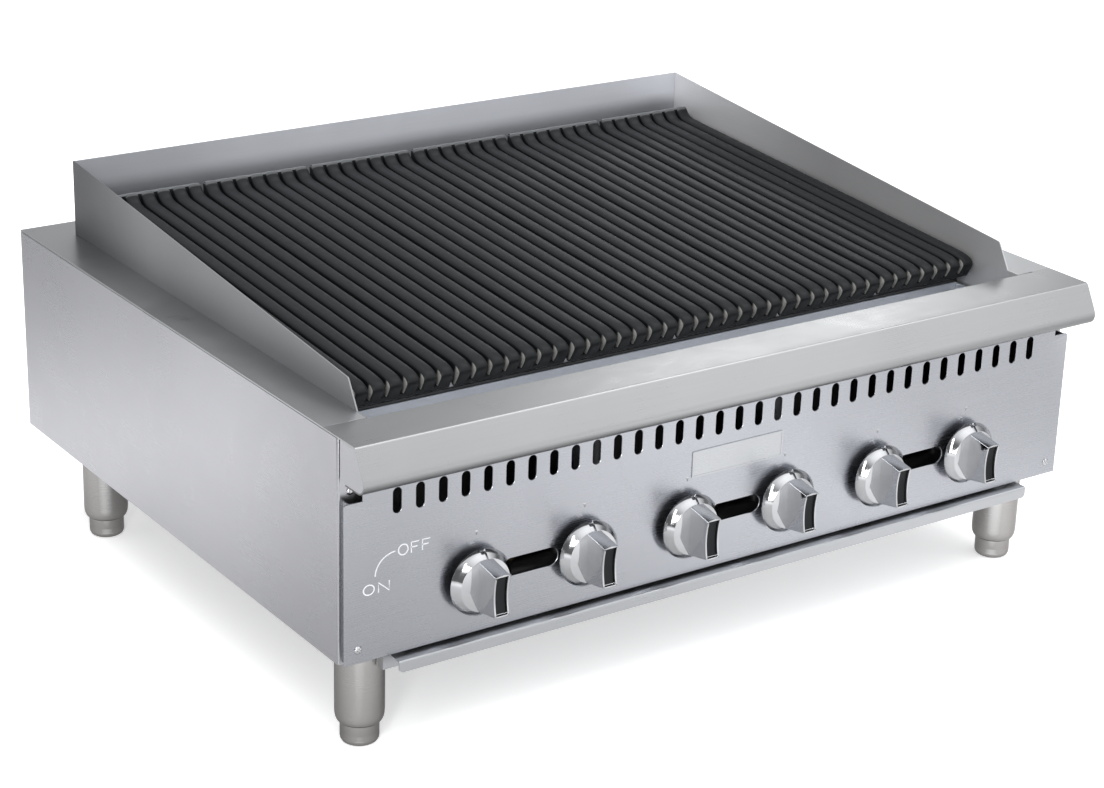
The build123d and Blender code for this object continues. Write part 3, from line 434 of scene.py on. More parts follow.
def rough_metal(name, color, rough, grit, bump, metallic=0.0, specular=0.5, sheen=0.0):
    """Cast or coated metal: grain at two sizes, with uneven tone and gloss."""
    material, tree, bsdf = new_material(name)
    coords = make(tree, "ShaderNodeTexCoord").outputs["Object"]
    fine = noise_node(tree, coords, grit, 4.0, 0.6)
    coarse = noise_node(tree, coords, grit * 0.12, 3.0, 0.55)
    patches = noise_node(tree, coords, 14.0, 4.0, 0.6, 0.6)
    tone = weighted(tree, coarse, 0.5, patches, 0.5)
    tint = ramp(tree, tone, (0.3, scaled(color, 0.75)), (0.7, scaled(color, 1.3)))
    relief = math_node(tree, "ADD", math_node(tree, "MULTIPLY", fine, 0.5), coarse)
    normal = bump_node(tree, bump, 0.0004, relief)
    bsdf.inputs["Metallic"].default_value = metallic
    bsdf.inputs["Specular IOR Level"].default_value = specular
    bsdf.inputs["Coat Weight"].default_value = sheen
    bsdf.inputs["Coat Roughness"].default_value = 0.25
    tree.links.new(tint, bsdf.inputs["Base Color"])
    tree.links.new(span(tree, tone, rough - 0.09, rough + 0.09, 0.3, 0.7), bsdf.inputs["Roughness"])
    tree.links.new(normal, bsdf.inputs["Normal"])
    return material


HAZE = 0.03


def smooth_finish(name, color, rough, metallic=0.0):
    """Chrome, gloss plastic and printing: smooth, with a little haze and uneven tone."""
    material, tree, bsdf = new_material(name)
    coords = make(tree, "ShaderNodeTexCoord").outputs["Object"]
    haze_noise = noise_node(tree, coords, 60.0, 4.0, 0.6, 0.5)
    ripple = noise_node(tree, coords, 220.0, 2.0)
    tint = ramp(tree, haze_noise, (0.3, scaled(color, 0.95)), (0.7, scaled(color, 1.04)))
    normal = bump_node(tree, 0.01, 0.0002, ripple)
    bsdf.inputs["Metallic"].default_value = metallic
    tree.links.new(tint, bsdf.inputs["Base Color"])
    tree.links.new(span(tree, haze_noise, rough, rough + HAZE, 0.3, 0.7), bsdf.inputs["Roughness"])
    tree.links.new(normal, bsdf.inputs["Normal"])
    return material


SHELL = (0.49, 0.50, 0.535)
BLACK_SPECULAR = 0.2
# painted shade: the front panel steel darkens towards its left end
steel_front = steel("front_steel", SHELL, 0.27, "X", painted_shades=[("X", -0.42, -0.02, 0.83)])
# painted shade: the rail steel darkens towards the bottom of the nose, under it, and towards both ends
steel_rail = steel(
    "rail_steel",
    (0.49, 0.495, 0.50),
    0.30,
    "X",
    painted_shades=[("Z", 0.290, 0.308, 0.3), ("X", -0.42, -0.08, 0.87), ("X", 0.46, 0.2, 0.93)],
)
# painted shade: the side panel steel darkens towards its front edge
steel_side = steel("side_steel", (0.56, 0.56, 0.59), 0.30, "Y", painted_shades=[("Y", -0.33, -0.1, 0.83)])
steel_deck = steel("deck_steel", (0.53, 0.54, 0.55), 0.32, "X")
# painted shade: a darkened copy of the splash steel, darker still towards the rear
steel_splash_left_shaded = steel(
    "splash_left_shaded_steel",
    (0.345, 0.35, 0.36),
    0.42,
    "Y",
    0.3,
    metallic=0.85,
    painted_shades=[("Y", 0.32, 0.12, 0.45)],
)
# painted light: a brightened copy of the splash steel, with painted shade towards the front
steel_splash_right_lit = steel(
    "splash_right_lit_steel",
    (0.95, 0.95, 0.96),
    0.45,
    "Y",
    0.3,
    metallic=0.6,
    painted_shades=[("Y", 0.0, 0.3, 0.62)],
)
# painted light: a brightened copy of the splash steel, with painted shade along the bottom above the
# grates and towards the left
steel_splash_rear_lit = steel(
    "splash_rear_lit_steel",
    (0.80, 0.815, 0.87),
    0.42,
    "X",
    0.3,
    metallic=0.72,
    painted_shades=[("Z", 0.378, 0.398, 0.62), ("X", -0.40, -0.08, 0.68)],
)
steel_inner = steel("inner_steel", (0.42, 0.42, 0.43), 0.42, "X", 0.2, 0.08, 0.05)
steel_trough = steel("trough_steel", (0.66, 0.68, 0.72), 0.4, "X", 0.3, metallic=0.75)
steel_tray = steel("tray_steel", (0.52, 0.53, 0.55), 0.32, "X")
steel_leg = steel("leg_steel", (0.84, 0.835, 0.83), 0.26, "ring", 0.6, 0.015, 0.01, 0.03)
iron_grate = rough_metal(
    "grate_iron", (0.0062, 0.0070, 0.0080), 0.6, 900.0, 0.3, specular=0.15, sheen=0.18
)
# painted shade: a near-black steel for the frame, firebox and brackets inside the body, standing in for
# the shade there
steel_interior_shade = steel("interior_shade_steel", (0.10, 0.10, 0.10), 0.5, "X", 0.2, 0.05, 0.04)
iron_burner = rough_metal("burner_iron", (0.03, 0.028, 0.027), 0.65, 700.0, 0.5)
iron_radiant = rough_metal("radiant_iron", (0.035, 0.032, 0.03), 0.6, 700.0, 0.5)
pipe_black = rough_metal("black_pipe", (0.02, 0.02, 0.021), 0.45, 1200.0, 0.15)
valve_cast = rough_metal("valve_casting", (0.5, 0.5, 0.49), 0.45, 1200.0, 0.2, metallic=1.0)
chrome = smooth_finish("knob_chrome", (0.58, 0.585, 0.60), 0.08, 1.0)
screw_metal = smooth_finish("screw_metal", (0.6, 0.6, 0.62), 0.24, 1.0)
brass = smooth_finish("brass", (0.72, 0.55, 0.25), 0.25, 1.0)
tube_metal = smooth_finish("tube_aluminium", (0.7, 0.7, 0.71), 0.3, 1.0)
gloss_black = smooth_finish("insert_black", (0.008, 0.009, 0.010), 0.4)
black_bsdf = gloss_black.node_tree.nodes["Principled BSDF"]
black_bsdf.inputs["Specular IOR Level"].default_value = BLACK_SPECULAR
plate_metal = steel("name_plate_metal", (0.55, 0.56, 0.58), 0.3, "X", 0.3)
print_ink = smooth_finish("print_ink", (0.62, 0.63, 0.66), 0.4)

# ------------------------------------------------------------------ CAD nodes kept as they are
KEPT = {
    "side_panel_left": (steel_side, 0.5),
    "side_panel_right": (steel_side, 0.5),
    "top_deck": (steel_deck, 0.15),
    "rail_end_caps": (steel_side, 0.3),
    "name_plate": (plate_metal, 0.15),
    "splash_rear": (steel_splash_rear_lit, 0.4),
    "splash_left": (steel_splash_left_shaded, 0.4),
    "splash_right": (steel_splash_right_lit, 0.4),
    "back_panel": (steel_side, 0.3),
    "base_frame": (steel_interior_shade, 0.3),
    "tray_rails": (steel_inner, 0.2),
    "firebox_sides": (steel_interior_shade, 0.2),
    "firebox_front": (steel_interior_shade, 0.3),
    "firebox_rear": (steel_interior_shade, 0.2),
    "grease_trough": (steel_trough, 0.3),
    "grate_supports": (steel_inner, 0.4),
    "burners": (iron_burner, 0.3),
    "burner_rest": (steel_inner, 0.3),
    "radiants": (iron_radiant, 0.3),
    "gas_manifold": (pipe_black, 0.3),
    "inlet_pipe": (pipe_black, 0.4),
    "manifold_brackets": (steel_interior_shade, 0.3),
    "gas_valves": (valve_cast, 0.4),
    "orifices": (brass, 0.2),
    "pilot_valves": (brass, 0.4),
    "pilot_tubes": (tube_metal, 0.0),
    "pilot_burners": (screw_metal, 0.3),
    "panel_screws": (screw_metal, 0.15),
}
for number in range(1, 7):
    KEPT[f"valve_stem_{number}"] = (brass, 0.2)

for node_name, (finish, edge) in KEPT.items():
    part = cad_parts[node_name]
    part.data.materials.clear()
    part.data.materials.append(finish)
    if edge:
        weld = part.modifiers.new("weld", "WELD")
        weld.merge_threshold = 0.00001
        bevel(part, edge, 2, 40.0)

# ------------------------------------------------------------------ front rail
SHEET = 1.5
rail_low, rail_high = node_box("front_rail")
ledge_rear = rail_high[1]
deck_z = rail_high[2]
rail_base = rail_low[2]
half_width = rail_high[0]
NOSE_EDGE_Y = ledge_rear - 58.3
NOSE_TIP_Y = ledge_rear - 81.4
UNDERSIDE_END_Y = ledge_rear - 40.9
LIP_DROP = 14.0
LIP_HALF = half_width - 27
mid_top, mid_base = deck_z - SHEET / 2, rail_base + SHEET / 2
rail_line = [
    (NOSE_EDGE_Y + 0.47, mid_top),
    (NOSE_TIP_Y + 1.2, mid_base),
    (UNDERSIDE_END_Y, mid_base),
]
rail_radii = [2.2, 10.2]
with_lip = folded(
    [(ledge_rear - SHEET / 2, deck_z - LIP_DROP), (ledge_rear - SHEET / 2, mid_top)] + rail_line,
    SHEET,
    [1.6] + rail_radii,
    9,
)
without_lip = folded([(ledge_rear, mid_top)] + rail_line, SHEET, rail_radii, 9)
rail_shape = join(
    extruded(with_lip, "X", -LIP_HALF, LIP_HALF),
    extruded(without_lip, "X", -half_width, -LIP_HALF),
    extruded(without_lip, "X", LIP_HALF, half_width),
)
add_piece("rail_sheet", rail_shape, steel_rail, nodes=["front_rail"])

# ------------------------------------------------------------------ control panel
panel_low, panel_high = node_box("front_panel")
panel_y = panel_low[1]
panel_base = panel_low[2]
panel_top = panel_high[2]
panel_half = panel_high[0]
RELIEF_X = 437.0
RELIEF_Z = 271.0
RELIEF_R = 3.0
RETURN_INSET = 4.0
PANEL_CHAMFER = 0.3
LOUVRES = 33
LOUVRE_PITCH = 25.0
LOUVRE_Z = 263.9
LOUVRE_LENGTH = 25.8
LOUVRE_WIDTH = 9.6
VIEW_SLOT_XS = (-250.0, 0.0, 250.0)
VIEW_SLOT_Z = 165.0
VIEW_SLOT_LENGTH = 65.0
VIEW_SLOT_WIDTH = 19.3
STEM_HOLE_R = 8.0
KNOBS = range(1, 7)
knob_centres = []
for number in KNOBS:
    low, high = node_box(f"knob_{number}")
    knob_centres.append(((low[0] + high[0]) / 2, (low[2] + high[2]) / 2))


def panel_outline(grow):
    side = panel_half + grow
    relief = (-(side - RELIEF_R), RELIEF_Z - RELIEF_R)
    left = [(-side, panel_base - grow)]
    for k in range(7):
        turn = math.radians(180 - 15 * k)
        radius = RELIEF_R + grow
        left.append((relief[0] + radius * math.cos(turn), relief[1] + radius * math.sin(turn)))
    left += [(-RELIEF_X - grow, RELIEF_Z + grow), (-RELIEF_X - grow, panel_top + grow)]
    return left + [(-x, z) for x, z in reversed(left)]


louvre_xs = [LOUVRE_PITCH * (i - LOUVRES // 2) for i in range(LOUVRES)]
panel_holes = [slot_loop(x, LOUVRE_Z, LOUVRE_LENGTH, LOUVRE_WIDTH, True) for x in louvre_xs]
panel_holes += [
    slot_loop(x, VIEW_SLOT_Z, VIEW_SLOT_LENGTH, VIEW_SLOT_WIDTH, False, 12) for x in VIEW_SLOT_XS
]
panel_holes += [circle_loop(x, z, STEM_HOLE_R) for x, z in knob_centres]
return_x = panel_half - RETURN_INSET
strip = box_shape(
    (-return_x, panel_y + SHEET, panel_base), (-return_x + SHEET, panel_high[1], RELIEF_Z)
)
panel_shape = join(
    pierced_plate(panel_outline, panel_holes, panel_y, SHEET, PANEL_CHAMFER),
    strip,
    flipped_x(strip),
    box_shape(
        (-return_x + SHEET, panel_y + SHEET, panel_base),
        (return_x - SHEET, panel_high[1], panel_base + SHEET),
    ),
)
add_piece("panel_sheet", panel_shape, steel_front, nodes=["front_panel"])


# ------------------------------------------------------------------ printing on the panel
def stroke(points, width, y_front):
    """A printed line: a thin raised ribbon along points (x, z) on the panel."""
    half = width / 2
    left, right = [], []
    for i, point in enumerate(points):
        before = Vector(points[max(i - 1, 0)])
        after = Vector(points[min(i + 1, len(points) - 1)])
        ahead = (after - before).normalized()
        left.append((point[0] - ahead.y * half, point[1] + ahead.x * half))
        right.append((point[0] + ahead.y * half, point[1] - ahead.x * half))
    shapes = []
    for i in range(len(points) - 1):
        quad = [left[i], left[i + 1], right[i + 1], right[i]]
        shapes.append(extruded(quad, "Y", y_front, y_front + 0.25))
    return join(*shapes)


def ellipse(cx, cz, rx, rz, start=0.0, end=360.0, steps=28):
    turns = [math.radians(start + (end - start) * i / steps) for i in range(steps + 1)]
    return [(cx + rx * math.cos(t), cz + rz * math.sin(t)) for t in turns]


def letter(kind, x, z, width, height):
    """Plain capital letters as strokes from a lower-left corner."""
    if kind == "O":
        return [ellipse(x + width / 2, z + height / 2, width / 2, height / 2)]
    if kind == "N":
        return [[(x, z), (x, z + height), (x + width, z), (x + width, z + height)]]
    middle = z + height * 0.52
    return [
        [(x, z), (x, z + height), (x + width, z + height)],
        [(x, middle), (x + width * 0.8, middle)],
    ]


PRINT_Y = panel_y - 0.06
INK = 1.3
OFF_Z, OFF_HEIGHT = 207.2, 10.6
OFF_LETTERS = (("O", -398.6, 10.4), ("F", -384.6, 8.4), ("F", -372.4, 8.4))
ON_Z, ON_HEIGHT = 174.8, 10.0
ON_LETTERS = (("O", -436.2, 11.6), ("N", -420.0, 11.6))
ARC_X, ARC_Z, ARC_RX, ARC_RZ = -401.2, 191.0, 22.5, 21.9
ARC_START, ARC_END = 178.0, 92.0
marks = []
for kind, x, width in OFF_LETTERS:
    marks += letter(kind, x, OFF_Z, width, OFF_HEIGHT)
for kind, x, width in ON_LETTERS:
    marks += letter(kind, x, ON_Z, width, ON_HEIGHT)
marks.append(ellipse(ARC_X, ARC_Z, ARC_RX, ARC_RZ, ARC_START, ARC_END))
printing = join(*[stroke(line, INK, PRINT_Y) for line in marks])
add_piece("panel_marks", printing, print_ink)


PIP_Z = 210.8
PIP_HALF = 2.6


def index_pip(x, z):
    """A small pointed bump pressed out of the panel above a knob."""
    top, point = z + 2.4, z - PIP_HALF
    rim = [(x - PIP_HALF, top), (x + PIP_HALF, top), (x + 0.6, point), (x - 0.6, point)]
    verts = [(a, panel_y + 0.2, b) for a, b in rim] + [(x, panel_y - 1.1, z + 1.0)]
    return verts, [[0, 1, 4], [1, 2, 4], [2, 3, 4], [3, 0, 4], [3, 2, 1, 0]]


pips = join(*[index_pip(x, PIP_Z) for x, _ in knob_centres])
add_piece("panel_index_pips", pips, screw_metal, sharp=20.0)

# ------------------------------------------------------------------ knobs
SKIRT_R = 34.5
SKIRT_SEGMENTS = 120
SKIRT_DEPTH = 11.0
DISC_R = 27.5
GRIP_HALF = 8.25
INSERT_HALF = 6.3
GRIP_DEPTH = 29.0
GRIP_TAPER = 5.4
GROOVE_DEPTH = 2.6
SAG = 2.6
REACH = 19.9
POCKET_DEPTH = 3.6
GRIP_STEPS = 16
INSERT_GAP = 0.9
GROOVE_ANGLE = math.radians(90)
groove_edges = [math.radians(90 + d) for d in (-5.4, -4.2, -2.0, 0.0, 2.0, 4.2, 5.4)]
skirt_angles = sorted(
    [a for a in even_angles(SKIRT_SEGMENTS) if abs(a - GROOVE_ANGLE) > math.radians(6)] + groove_edges
)


def knob_skirt(centre, back_y):
    """The flared skirt with a pointer groove cut into it at twelve o'clock."""
    front_y = back_y - SKIRT_DEPTH
    profile = [
        (0.0, back_y),
        (31.2, back_y),
        (32.2, back_y - 0.3),
        (SKIRT_R - 0.3, back_y - 1.7),
        (SKIRT_R, back_y - 2.4),
        (SKIRT_R - 0.25, back_y - 3.2),
        (30.9, back_y - 7.0),
        (DISC_R + 0.5, front_y + 0.75),
        (DISC_R + 0.1, front_y + 0.25),
        (DISC_R - 0.5, front_y),
        (0.0, front_y),
    ]
    verts, faces = turned(profile, "Y", (centre[0], 0.0, centre[1]), skirt_angles)
    rows = len(profile)
    cut = []
    for i, (x, y, z) in enumerate(verts):
        angle = skirt_angles[i // rows]
        row = i % rows
        if abs(angle - GROOVE_ANGLE) < math.radians(4.8) and 3 <= row <= 8:
            dx, dz = x - centre[0], z - centre[1]
            radius = math.hypot(dx, dz)
            scale = (radius - GROOVE_DEPTH) / radius
            x, z = centre[0] + dx * scale, centre[1] + dz * scale
        cut.append((x, y, z))
    return cut, faces


def knob_grip(centre, base_y):
    """The bar grip: a tapered block with round ends, a hollow front and a pocket for the insert."""
    tip_y = base_y - GRIP_DEPTH
    columns = [-GRIP_HALF, -INSERT_HALF, 0.0, INSERT_HALF, GRIP_HALF]
    inner_rows = [REACH * (2 * k / GRIP_STEPS - 1) for k in range(GRIP_STEPS + 1)]
    rows = len(inner_rows) + 2
    verts, faces = [], []

    def end_z(x, taper):
        return math.sqrt(DISC_R**2 - x**2) - 0.3 - taper

    def hollow(z):
        return SAG * max(0.0, 1 - (z / REACH) ** 2)

    def grid(depth):
        start = len(verts)
        for x in columns:
            top = end_z(x, GRIP_TAPER)
            for z in [-top] + inner_rows + [top]:
                verts.append((centre[0] + x, tip_y + hollow(z) + depth, centre[1] + z))
        return start

    front = grid(0.0)
    floor = grid(POCKET_DEPTH)
    pocket_columns, pocket_rows = (1, 2), range(1, rows - 2)
    for c in range(len(columns) - 1):
        for r in range(rows - 1):
            start = floor if c in pocket_columns and r in pocket_rows else front
            corner = start + c * rows + r
            faces.append([corner, corner + rows, corner + rows + 1, corner + 1])

    def wall(c0, r0, c1, r1):
        one, two = c0 * rows + r0, c1 * rows + r1
        faces.append([front + one, front + two, floor + two, floor + one])

    low, high = pocket_rows[0], pocket_rows[-1] + 1
    left, right = pocket_columns[0], pocket_columns[-1] + 1
    for r in range(low, high):
        wall(left, r, left, r + 1)
        wall(right, r, right, r + 1)
    for c in range(left, right):
        wall(c, low, c + 1, low)
        wall(c, high, c + 1, high)
    rim = [c * rows for c in range(len(columns))]
    rim += [(len(columns) - 1) * rows + r for r in range(1, rows)]
    rim += [c * rows + rows - 1 for c in range(len(columns) - 2, -1, -1)]
    rim += list(range(rows - 2, 0, -1))
    base = len(verts)
    for i in rim:
        x, _, z = verts[front + i]
        across, up = x - centre[0], z - centre[1]
        stretch = end_z(across, 0.0) / end_z(across, GRIP_TAPER)
        verts.append((x, base_y + 0.5, centre[1] + up * stretch))
    count = len(rim)
    for i in range(count):
        j = (i + 1) % count
        faces.append([front + rim[i], front + rim[j], base + j, base + i])
    faces.append([base + i for i in range(count)][::-1])
    used = sorted({i for face in faces for i in face})
    index = {old: new for new, old in enumerate(used)}
    return [verts[i] for i in used], [[index[i] for i in face] for face in faces]


def knob_insert(centre, base_y):
    """The black insert, curved like the hollow and lying in the pocket."""
    tip_y = base_y - GRIP_DEPTH + POCKET_DEPTH - 0.7
    rows = [(REACH - INSERT_GAP) * (2 * k / GRIP_STEPS - 1) for k in range(GRIP_STEPS + 1)]
    front = [(tip_y + SAG * max(0.0, 1 - (z / REACH) ** 2), centre[1] + z) for z in rows]
    back = [(y + 0.6, z) for y, z in front]
    outline = front + back[::-1]
    return extruded(outline, "X", centre[0] - INSERT_HALF + 0.3, centre[0] + INSERT_HALF - 0.3)


for number, centre in enumerate(knob_centres, start=1):
    body = f"knob_{number}_assembly"
    back_y = node_box(f"knob_{number}")[1][1]
    base_y = back_y - SKIRT_DEPTH
    add_piece(
        f"knob_{number}_skirt",
        knob_skirt(centre, back_y),
        chrome,
        body,
        [f"knob_{number}"],
        28.0,
    )
    grip = add_piece(f"knob_{number}_grip", knob_grip(centre, base_y), chrome, body)
    bevel(grip, 0.6, 3, 40.0)
    insert = add_piece(
        f"knob_{number}_insert_face",
        knob_insert(centre, base_y),
        gloss_black,
        body,
        [f"knob_insert_{number}"],
    )
    bevel(insert, 0.3, 2, 50.0)

# ------------------------------------------------------------------ grates
BAR_PITCH = 19.2
BARS = 7
GRATES = 6
SLOPE = 32.0 / 490
grate_low, grate_high = node_box("grate_1")
NOSE_Y, TOE_Z = grate_low[1], grate_low[2]
REAR_Y, CREST_Z = grate_high[1], grate_high[2]
FRONT_TOP_Y, FRONT_TOP_Z = NOSE_Y + 25.0, TOE_Z + 27.7
BAR_DEPTH = 20.0
RIB_YS = (NOSE_Y + 60.0, NOSE_Y + 173.5, NOSE_Y + 343.5, REAR_Y - 32.0)


def grate_top(y):
    return FRONT_TOP_Z + (y - FRONT_TOP_Y) * SLOPE


def bar_stations():
    """Pairs of (outer, inner) points (y, z) along a bar, from its toe round its nose to the rear."""
    nose = [
        ((12.6, 0.2), (13.6, 0.2)),
        ((9.2, 1.2), (15.0, 1.0)),
        ((6.9, 4.6), (16.4, 2.6)),
        ((3.9, 9.2), (18.0, 4.2)),
        ((1.4, 13.6), (20.0, 5.4)),
        ((0.0, 17.6), (22.4, 6.4)),
        ((1.3, 20.8), (24.6, 7.0)),
        ((6.0, 24.0), (26.8, 7.5)),
        ((14.0, 26.3), (29.0, 7.9)),
        ((25.0, 27.7), (32.0, 8.2)),
    ]
    outer = curve_points([(NOSE_Y + a, TOE_Z + b) for (a, b), _ in nose], 2)
    inner = curve_points([(NOSE_Y + a, TOE_Z + b) for _, (a, b) in nose], 2)
    pairs = list(zip(outer, inner))
    bend_start = REAR_Y - 26.0
    steps = 16
    for k in range(1, steps + 1):
        y = FRONT_TOP_Y + (bend_start - FRONT_TOP_Y) * k / steps
        lead = 7.0 * (1 - k / steps)
        foot = Vector((y + lead, grate_top(y + lead) - BAR_DEPTH))
        pairs.append((Vector((y, grate_top(y))), foot))
    rise = [(20.0, 0.25), (15.5, 1.1), (11.5, 2.8), (8.2, 5.2), (5.6, 7.9), (4.2, 9.6)]
    for back, lift in rise:
        y = REAR_Y - back
        pairs.append((Vector((y, grate_top(y) + lift)), Vector((y, grate_top(y) - BAR_DEPTH))))
    for back in (3.6, 0.4, 0.0):
        y = REAR_Y - back
        pairs.append((Vector((y, CREST_Z)), Vector((y, grate_top(y) - BAR_DEPTH))))
    return pairs


STATIONS = bar_stations()


def bar_section(width, crown, depth, foot):
    """Half-section of a bar as (x, depth) from the left foot over the crown to the right foot."""
    arc = []
    for k in range(7):
        turn = math.radians(15 * k)
        arc.append((width / 2 - crown + crown * math.cos(turn), 0.7 * crown * (1 - math.sin(turn))))
    right = [(foot / 2, depth), (width / 2 - 0.5, depth * 0.55)] + arc
    left = [(-x, d) for x, d in right]
    return left + [(0.0, -0.15)] + right[::-1]


def grate_bar(x_centre):
    verts, faces = [], []
    total = len(STATIONS)
    for index, (outer, inner) in enumerate(STATIONS):
        down = inner - outer
        depth = down.length
        down = down / depth
        swell = min(1.0, index / 26)
        tail = max(0.0, (index - (total - 9)) / 8)
        width = 14.8 + 1.6 * swell - 1.0 * tail
        crown = min(4.8, depth * 0.42)
        foot = width - 1.6
        section = bar_section(width, crown, depth, foot)
        for x, d in section:
            spot = Vector((x_centre + x, outer.x + down.x * d, outer.y + down.y * d))
            wobble = noise.noise_vector(spot * 0.09) * 0.22 + noise.noise_vector(spot * 0.45) * 0.07
            verts.append(tuple(spot + wobble))
    rows = len(bar_section(1, 0.1, 1, 1))
    for i in range(total - 1):
        for k in range(rows):
            m = (k + 1) % rows
            faces.append([i * rows + k, i * rows + m, (i + 1) * rows + m, (i + 1) * rows + k])
    faces.append(list(range(rows)))
    faces.append([(total - 1) * rows + k for k in range(rows)][::-1])
    return verts, faces


def rear_strip(x_low, x_high):
    """The flat bar that joins the bars at the rear, level with their raised ends."""
    front, rear, top = REAR_Y - 4.4, REAR_Y, CREST_Z
    outline = [(front, top - 14), (front, top - 1.2), (front + 1.2, top), (rear - 0.8, top)]
    outline += [(rear, top - 0.8), (rear, top - 14)]
    return extruded(outline, "X", x_low, x_high)


def toe_strip(x_low, x_high):
    """The bar that joins the toes, with a bumpy underside like a raw casting."""
    verts, faces = [], []
    count = 96
    for i in range(count + 1):
        x = x_low + (x_high - x_low) * i / count
        wave = 0.5 * math.sin(2 * math.pi * (x - x_low) / BAR_PITCH)
        drop = wave + 0.35 * noise.noise(Vector((x * 0.3, 0.0, 0.0)))
        ring = [(9.6, 1.2 + drop), (7.8, 3.2), (7.6, 6.0)]
        ring += [(13.0, 6.0), (15.0, 1.2), (12.5, 0.6 + drop * 0.5)]
        verts += [(x, NOSE_Y + a, TOE_Z + b) for a, b in ring]
    sides = 6
    for i in range(count):
        for k in range(sides):
            m = (k + 1) % sides
            faces.append([i * sides + k, i * sides + m, (i + 1) * sides + m, (i + 1) * sides + k])
    faces.append(list(range(sides))[::-1])
    faces.append([count * sides + k for k in range(sides)])
    return verts, faces


def cross_rib(x_low, x_high, y):
    """A rib under the bars: a bar with rounded edges, a little lower than their crowns."""
    top = grate_top(y) - 9.0
    outline = [
        (y - 4.0, top - 9.5),
        (y - 4.0, top - 1.6),
        (y - 2.6, top),
        (y + 2.6, top),
        (y + 4.0, top - 1.6),
        (y + 4.0, top - 9.5),
    ]
    return extruded(outline, "X", x_low, x_high)


for number in range(1, GRATES + 1):
    low, high = node_box(f"grate_{number}")
    middle = (low[0] + high[0]) / 2
    xs = [middle + BAR_PITCH * (i - BARS // 2) for i in range(BARS)]
    shapes = [grate_bar(x) for x in xs]
    shapes += [cross_rib(xs[0], xs[-1], y) for y in RIB_YS]
    shapes += [rear_strip(xs[0] - 6.5, xs[-1] + 6.5), toe_strip(xs[0] - 6.0, xs[-1] + 6.0)]
    add_piece(
        f"grate_{number}_casting",
        join(*shapes),
        iron_grate,
        f"grate_section_{number}",
        [f"grate_{number}"],
        40.0,
    )


def paint_nose_highlights_and_crests():
    """Paints the sides of the noses light grey, a painted highlight where they catch the light, and the
    up-facing tops of the rear strips a lighter grey.
    """
    tree = iron_grate.node_tree
    bsdf = tree.nodes["Principled BSDF"]
    black = bsdf.inputs["Base Color"].links[0].from_socket
    spot = make(tree, "ShaderNodeTexCoord").outputs["Object"]
    grain = noise_node(tree, spot, 260.0, 3.0, 0.6)
    spot = make(tree, "ShaderNodeSeparateXYZ", {"Vector": spot}).outputs
    face = make(tree, "ShaderNodeNewGeometry").outputs["Normal"]
    face = make(tree, "ShaderNodeSeparateXYZ", {"Vector": face}).outputs

    def mask(value, start, end):
        return span(tree, value, 0.0, 1.0, start, end, "SMOOTHSTEP")

    lean = math_node(tree, "MULTIPLY_ADD", spot["Z"], 0.3, (-NOSE_Y - 0.3 * (TOE_Z + 16.0)) * MM)
    behind = math_node(tree, "ADD", spot["Y"], lean)
    behind = math_node(tree, "MULTIPLY_ADD", grain, 0.003, behind)
    sideways = mask(math_node(tree, "ABSOLUTE", face["X"]), 0.7, 0.9)
    painted_nose_highlight = math_node(tree, "MULTIPLY", sideways, mask(behind, 0.0125, 0.0075))
    painted_nose_highlight = math_node(tree, "MULTIPLY", painted_nose_highlight, mask(spot["Z"], (TOE_Z + 1.0) * MM, (TOE_Z + 5.0) * MM))
    painted_nose_highlight = math_node(tree, "MULTIPLY", painted_nose_highlight, span(tree, grain, 0.7, 1.0, 0.3, 0.6))
    at_rear = mask(spot["Y"], (REAR_Y - 6.5) * MM, (REAR_Y - 5.0) * MM)
    crest = math_node(tree, "MULTIPLY", at_rear, mask(face["Z"], 0.3, 0.8))
    # painted highlight on the nose sides; the rear strip crests are only painted lighter
    tint = mix_color(tree, painted_nose_highlight, black, (0.30, 0.295, 0.28, 1))
    tint = mix_color(tree, crest, tint, (0.11, 0.115, 0.12, 1))
    tree.links.new(tint, bsdf.inputs["Base Color"])


paint_nose_highlights_and_crests()

# ------------------------------------------------------------------ legs and feet
LEG_R = 24.5
FOOT_R = 19.3
COLLAR_INSET = 5.0
COLLAR_RISE = 10
ROUND = even_angles(96)
leg_low, leg_high = node_box("leg_tubes")
leg_top, leg_base = leg_high[2] - 9.0, leg_low[2]
for corner in ("front_left", "front_right", "rear_left", "rear_right"):
    low, high = node_box(f"foot_{corner}")
    centre = ((low[0] + high[0]) / 2, (low[1] + high[1]) / 2, 0.0)
    collar = []
    for turn in [math.radians(t) for t in range(0, 91, 10)]:
        radius = LEG_R - 0.15 - COLLAR_INSET * (1 - math.cos(turn))
        collar.append((radius, leg_base + COLLAR_RISE - COLLAR_RISE * math.sin(turn)))
    tube = [(0.0, leg_top), (LEG_R, leg_top), (LEG_R, leg_base + 12.0)] + collar[1:]
    tube += [(FOOT_R + 0.35, leg_base + 0.2), (FOOT_R + 0.3, leg_base + 6.0), (0.0, leg_base + 6.0)]
    add_piece(
        f"leg_tube_{corner}",
        turned(tube, "Z", centre, ROUND),
        steel_leg,
        nodes=["leg_tubes"],
        sharp=40.0,
    )
    foot = [
        (0.0, 0.0),
        (FOOT_R - 4.5, 0.0),
        (FOOT_R - 3.2, 0.35),
        (FOOT_R - 1.4, 1.6),
        (FOOT_R - 0.4, 3.4),
        (FOOT_R - 0.05, 5.2),
        *[(FOOT_R - 0.2 * (k % 2), 5.8 + 0.75 * k) for k in range(9)],
        (FOOT_R, leg_base + 5.5),
        (FOOT_R - 1.0, leg_base + 5.8),
        (6.0, leg_base + 5.9),
        (6.0, high[2]),
        (0.0, high[2]),
    ]
    add_piece(
        f"foot_{corner}_cap",
        turned(foot, "Z", centre, ROUND),
        steel_leg,
        f"foot_{corner}_screwed",
        [f"foot_{corner}"],
        40.0,
    )

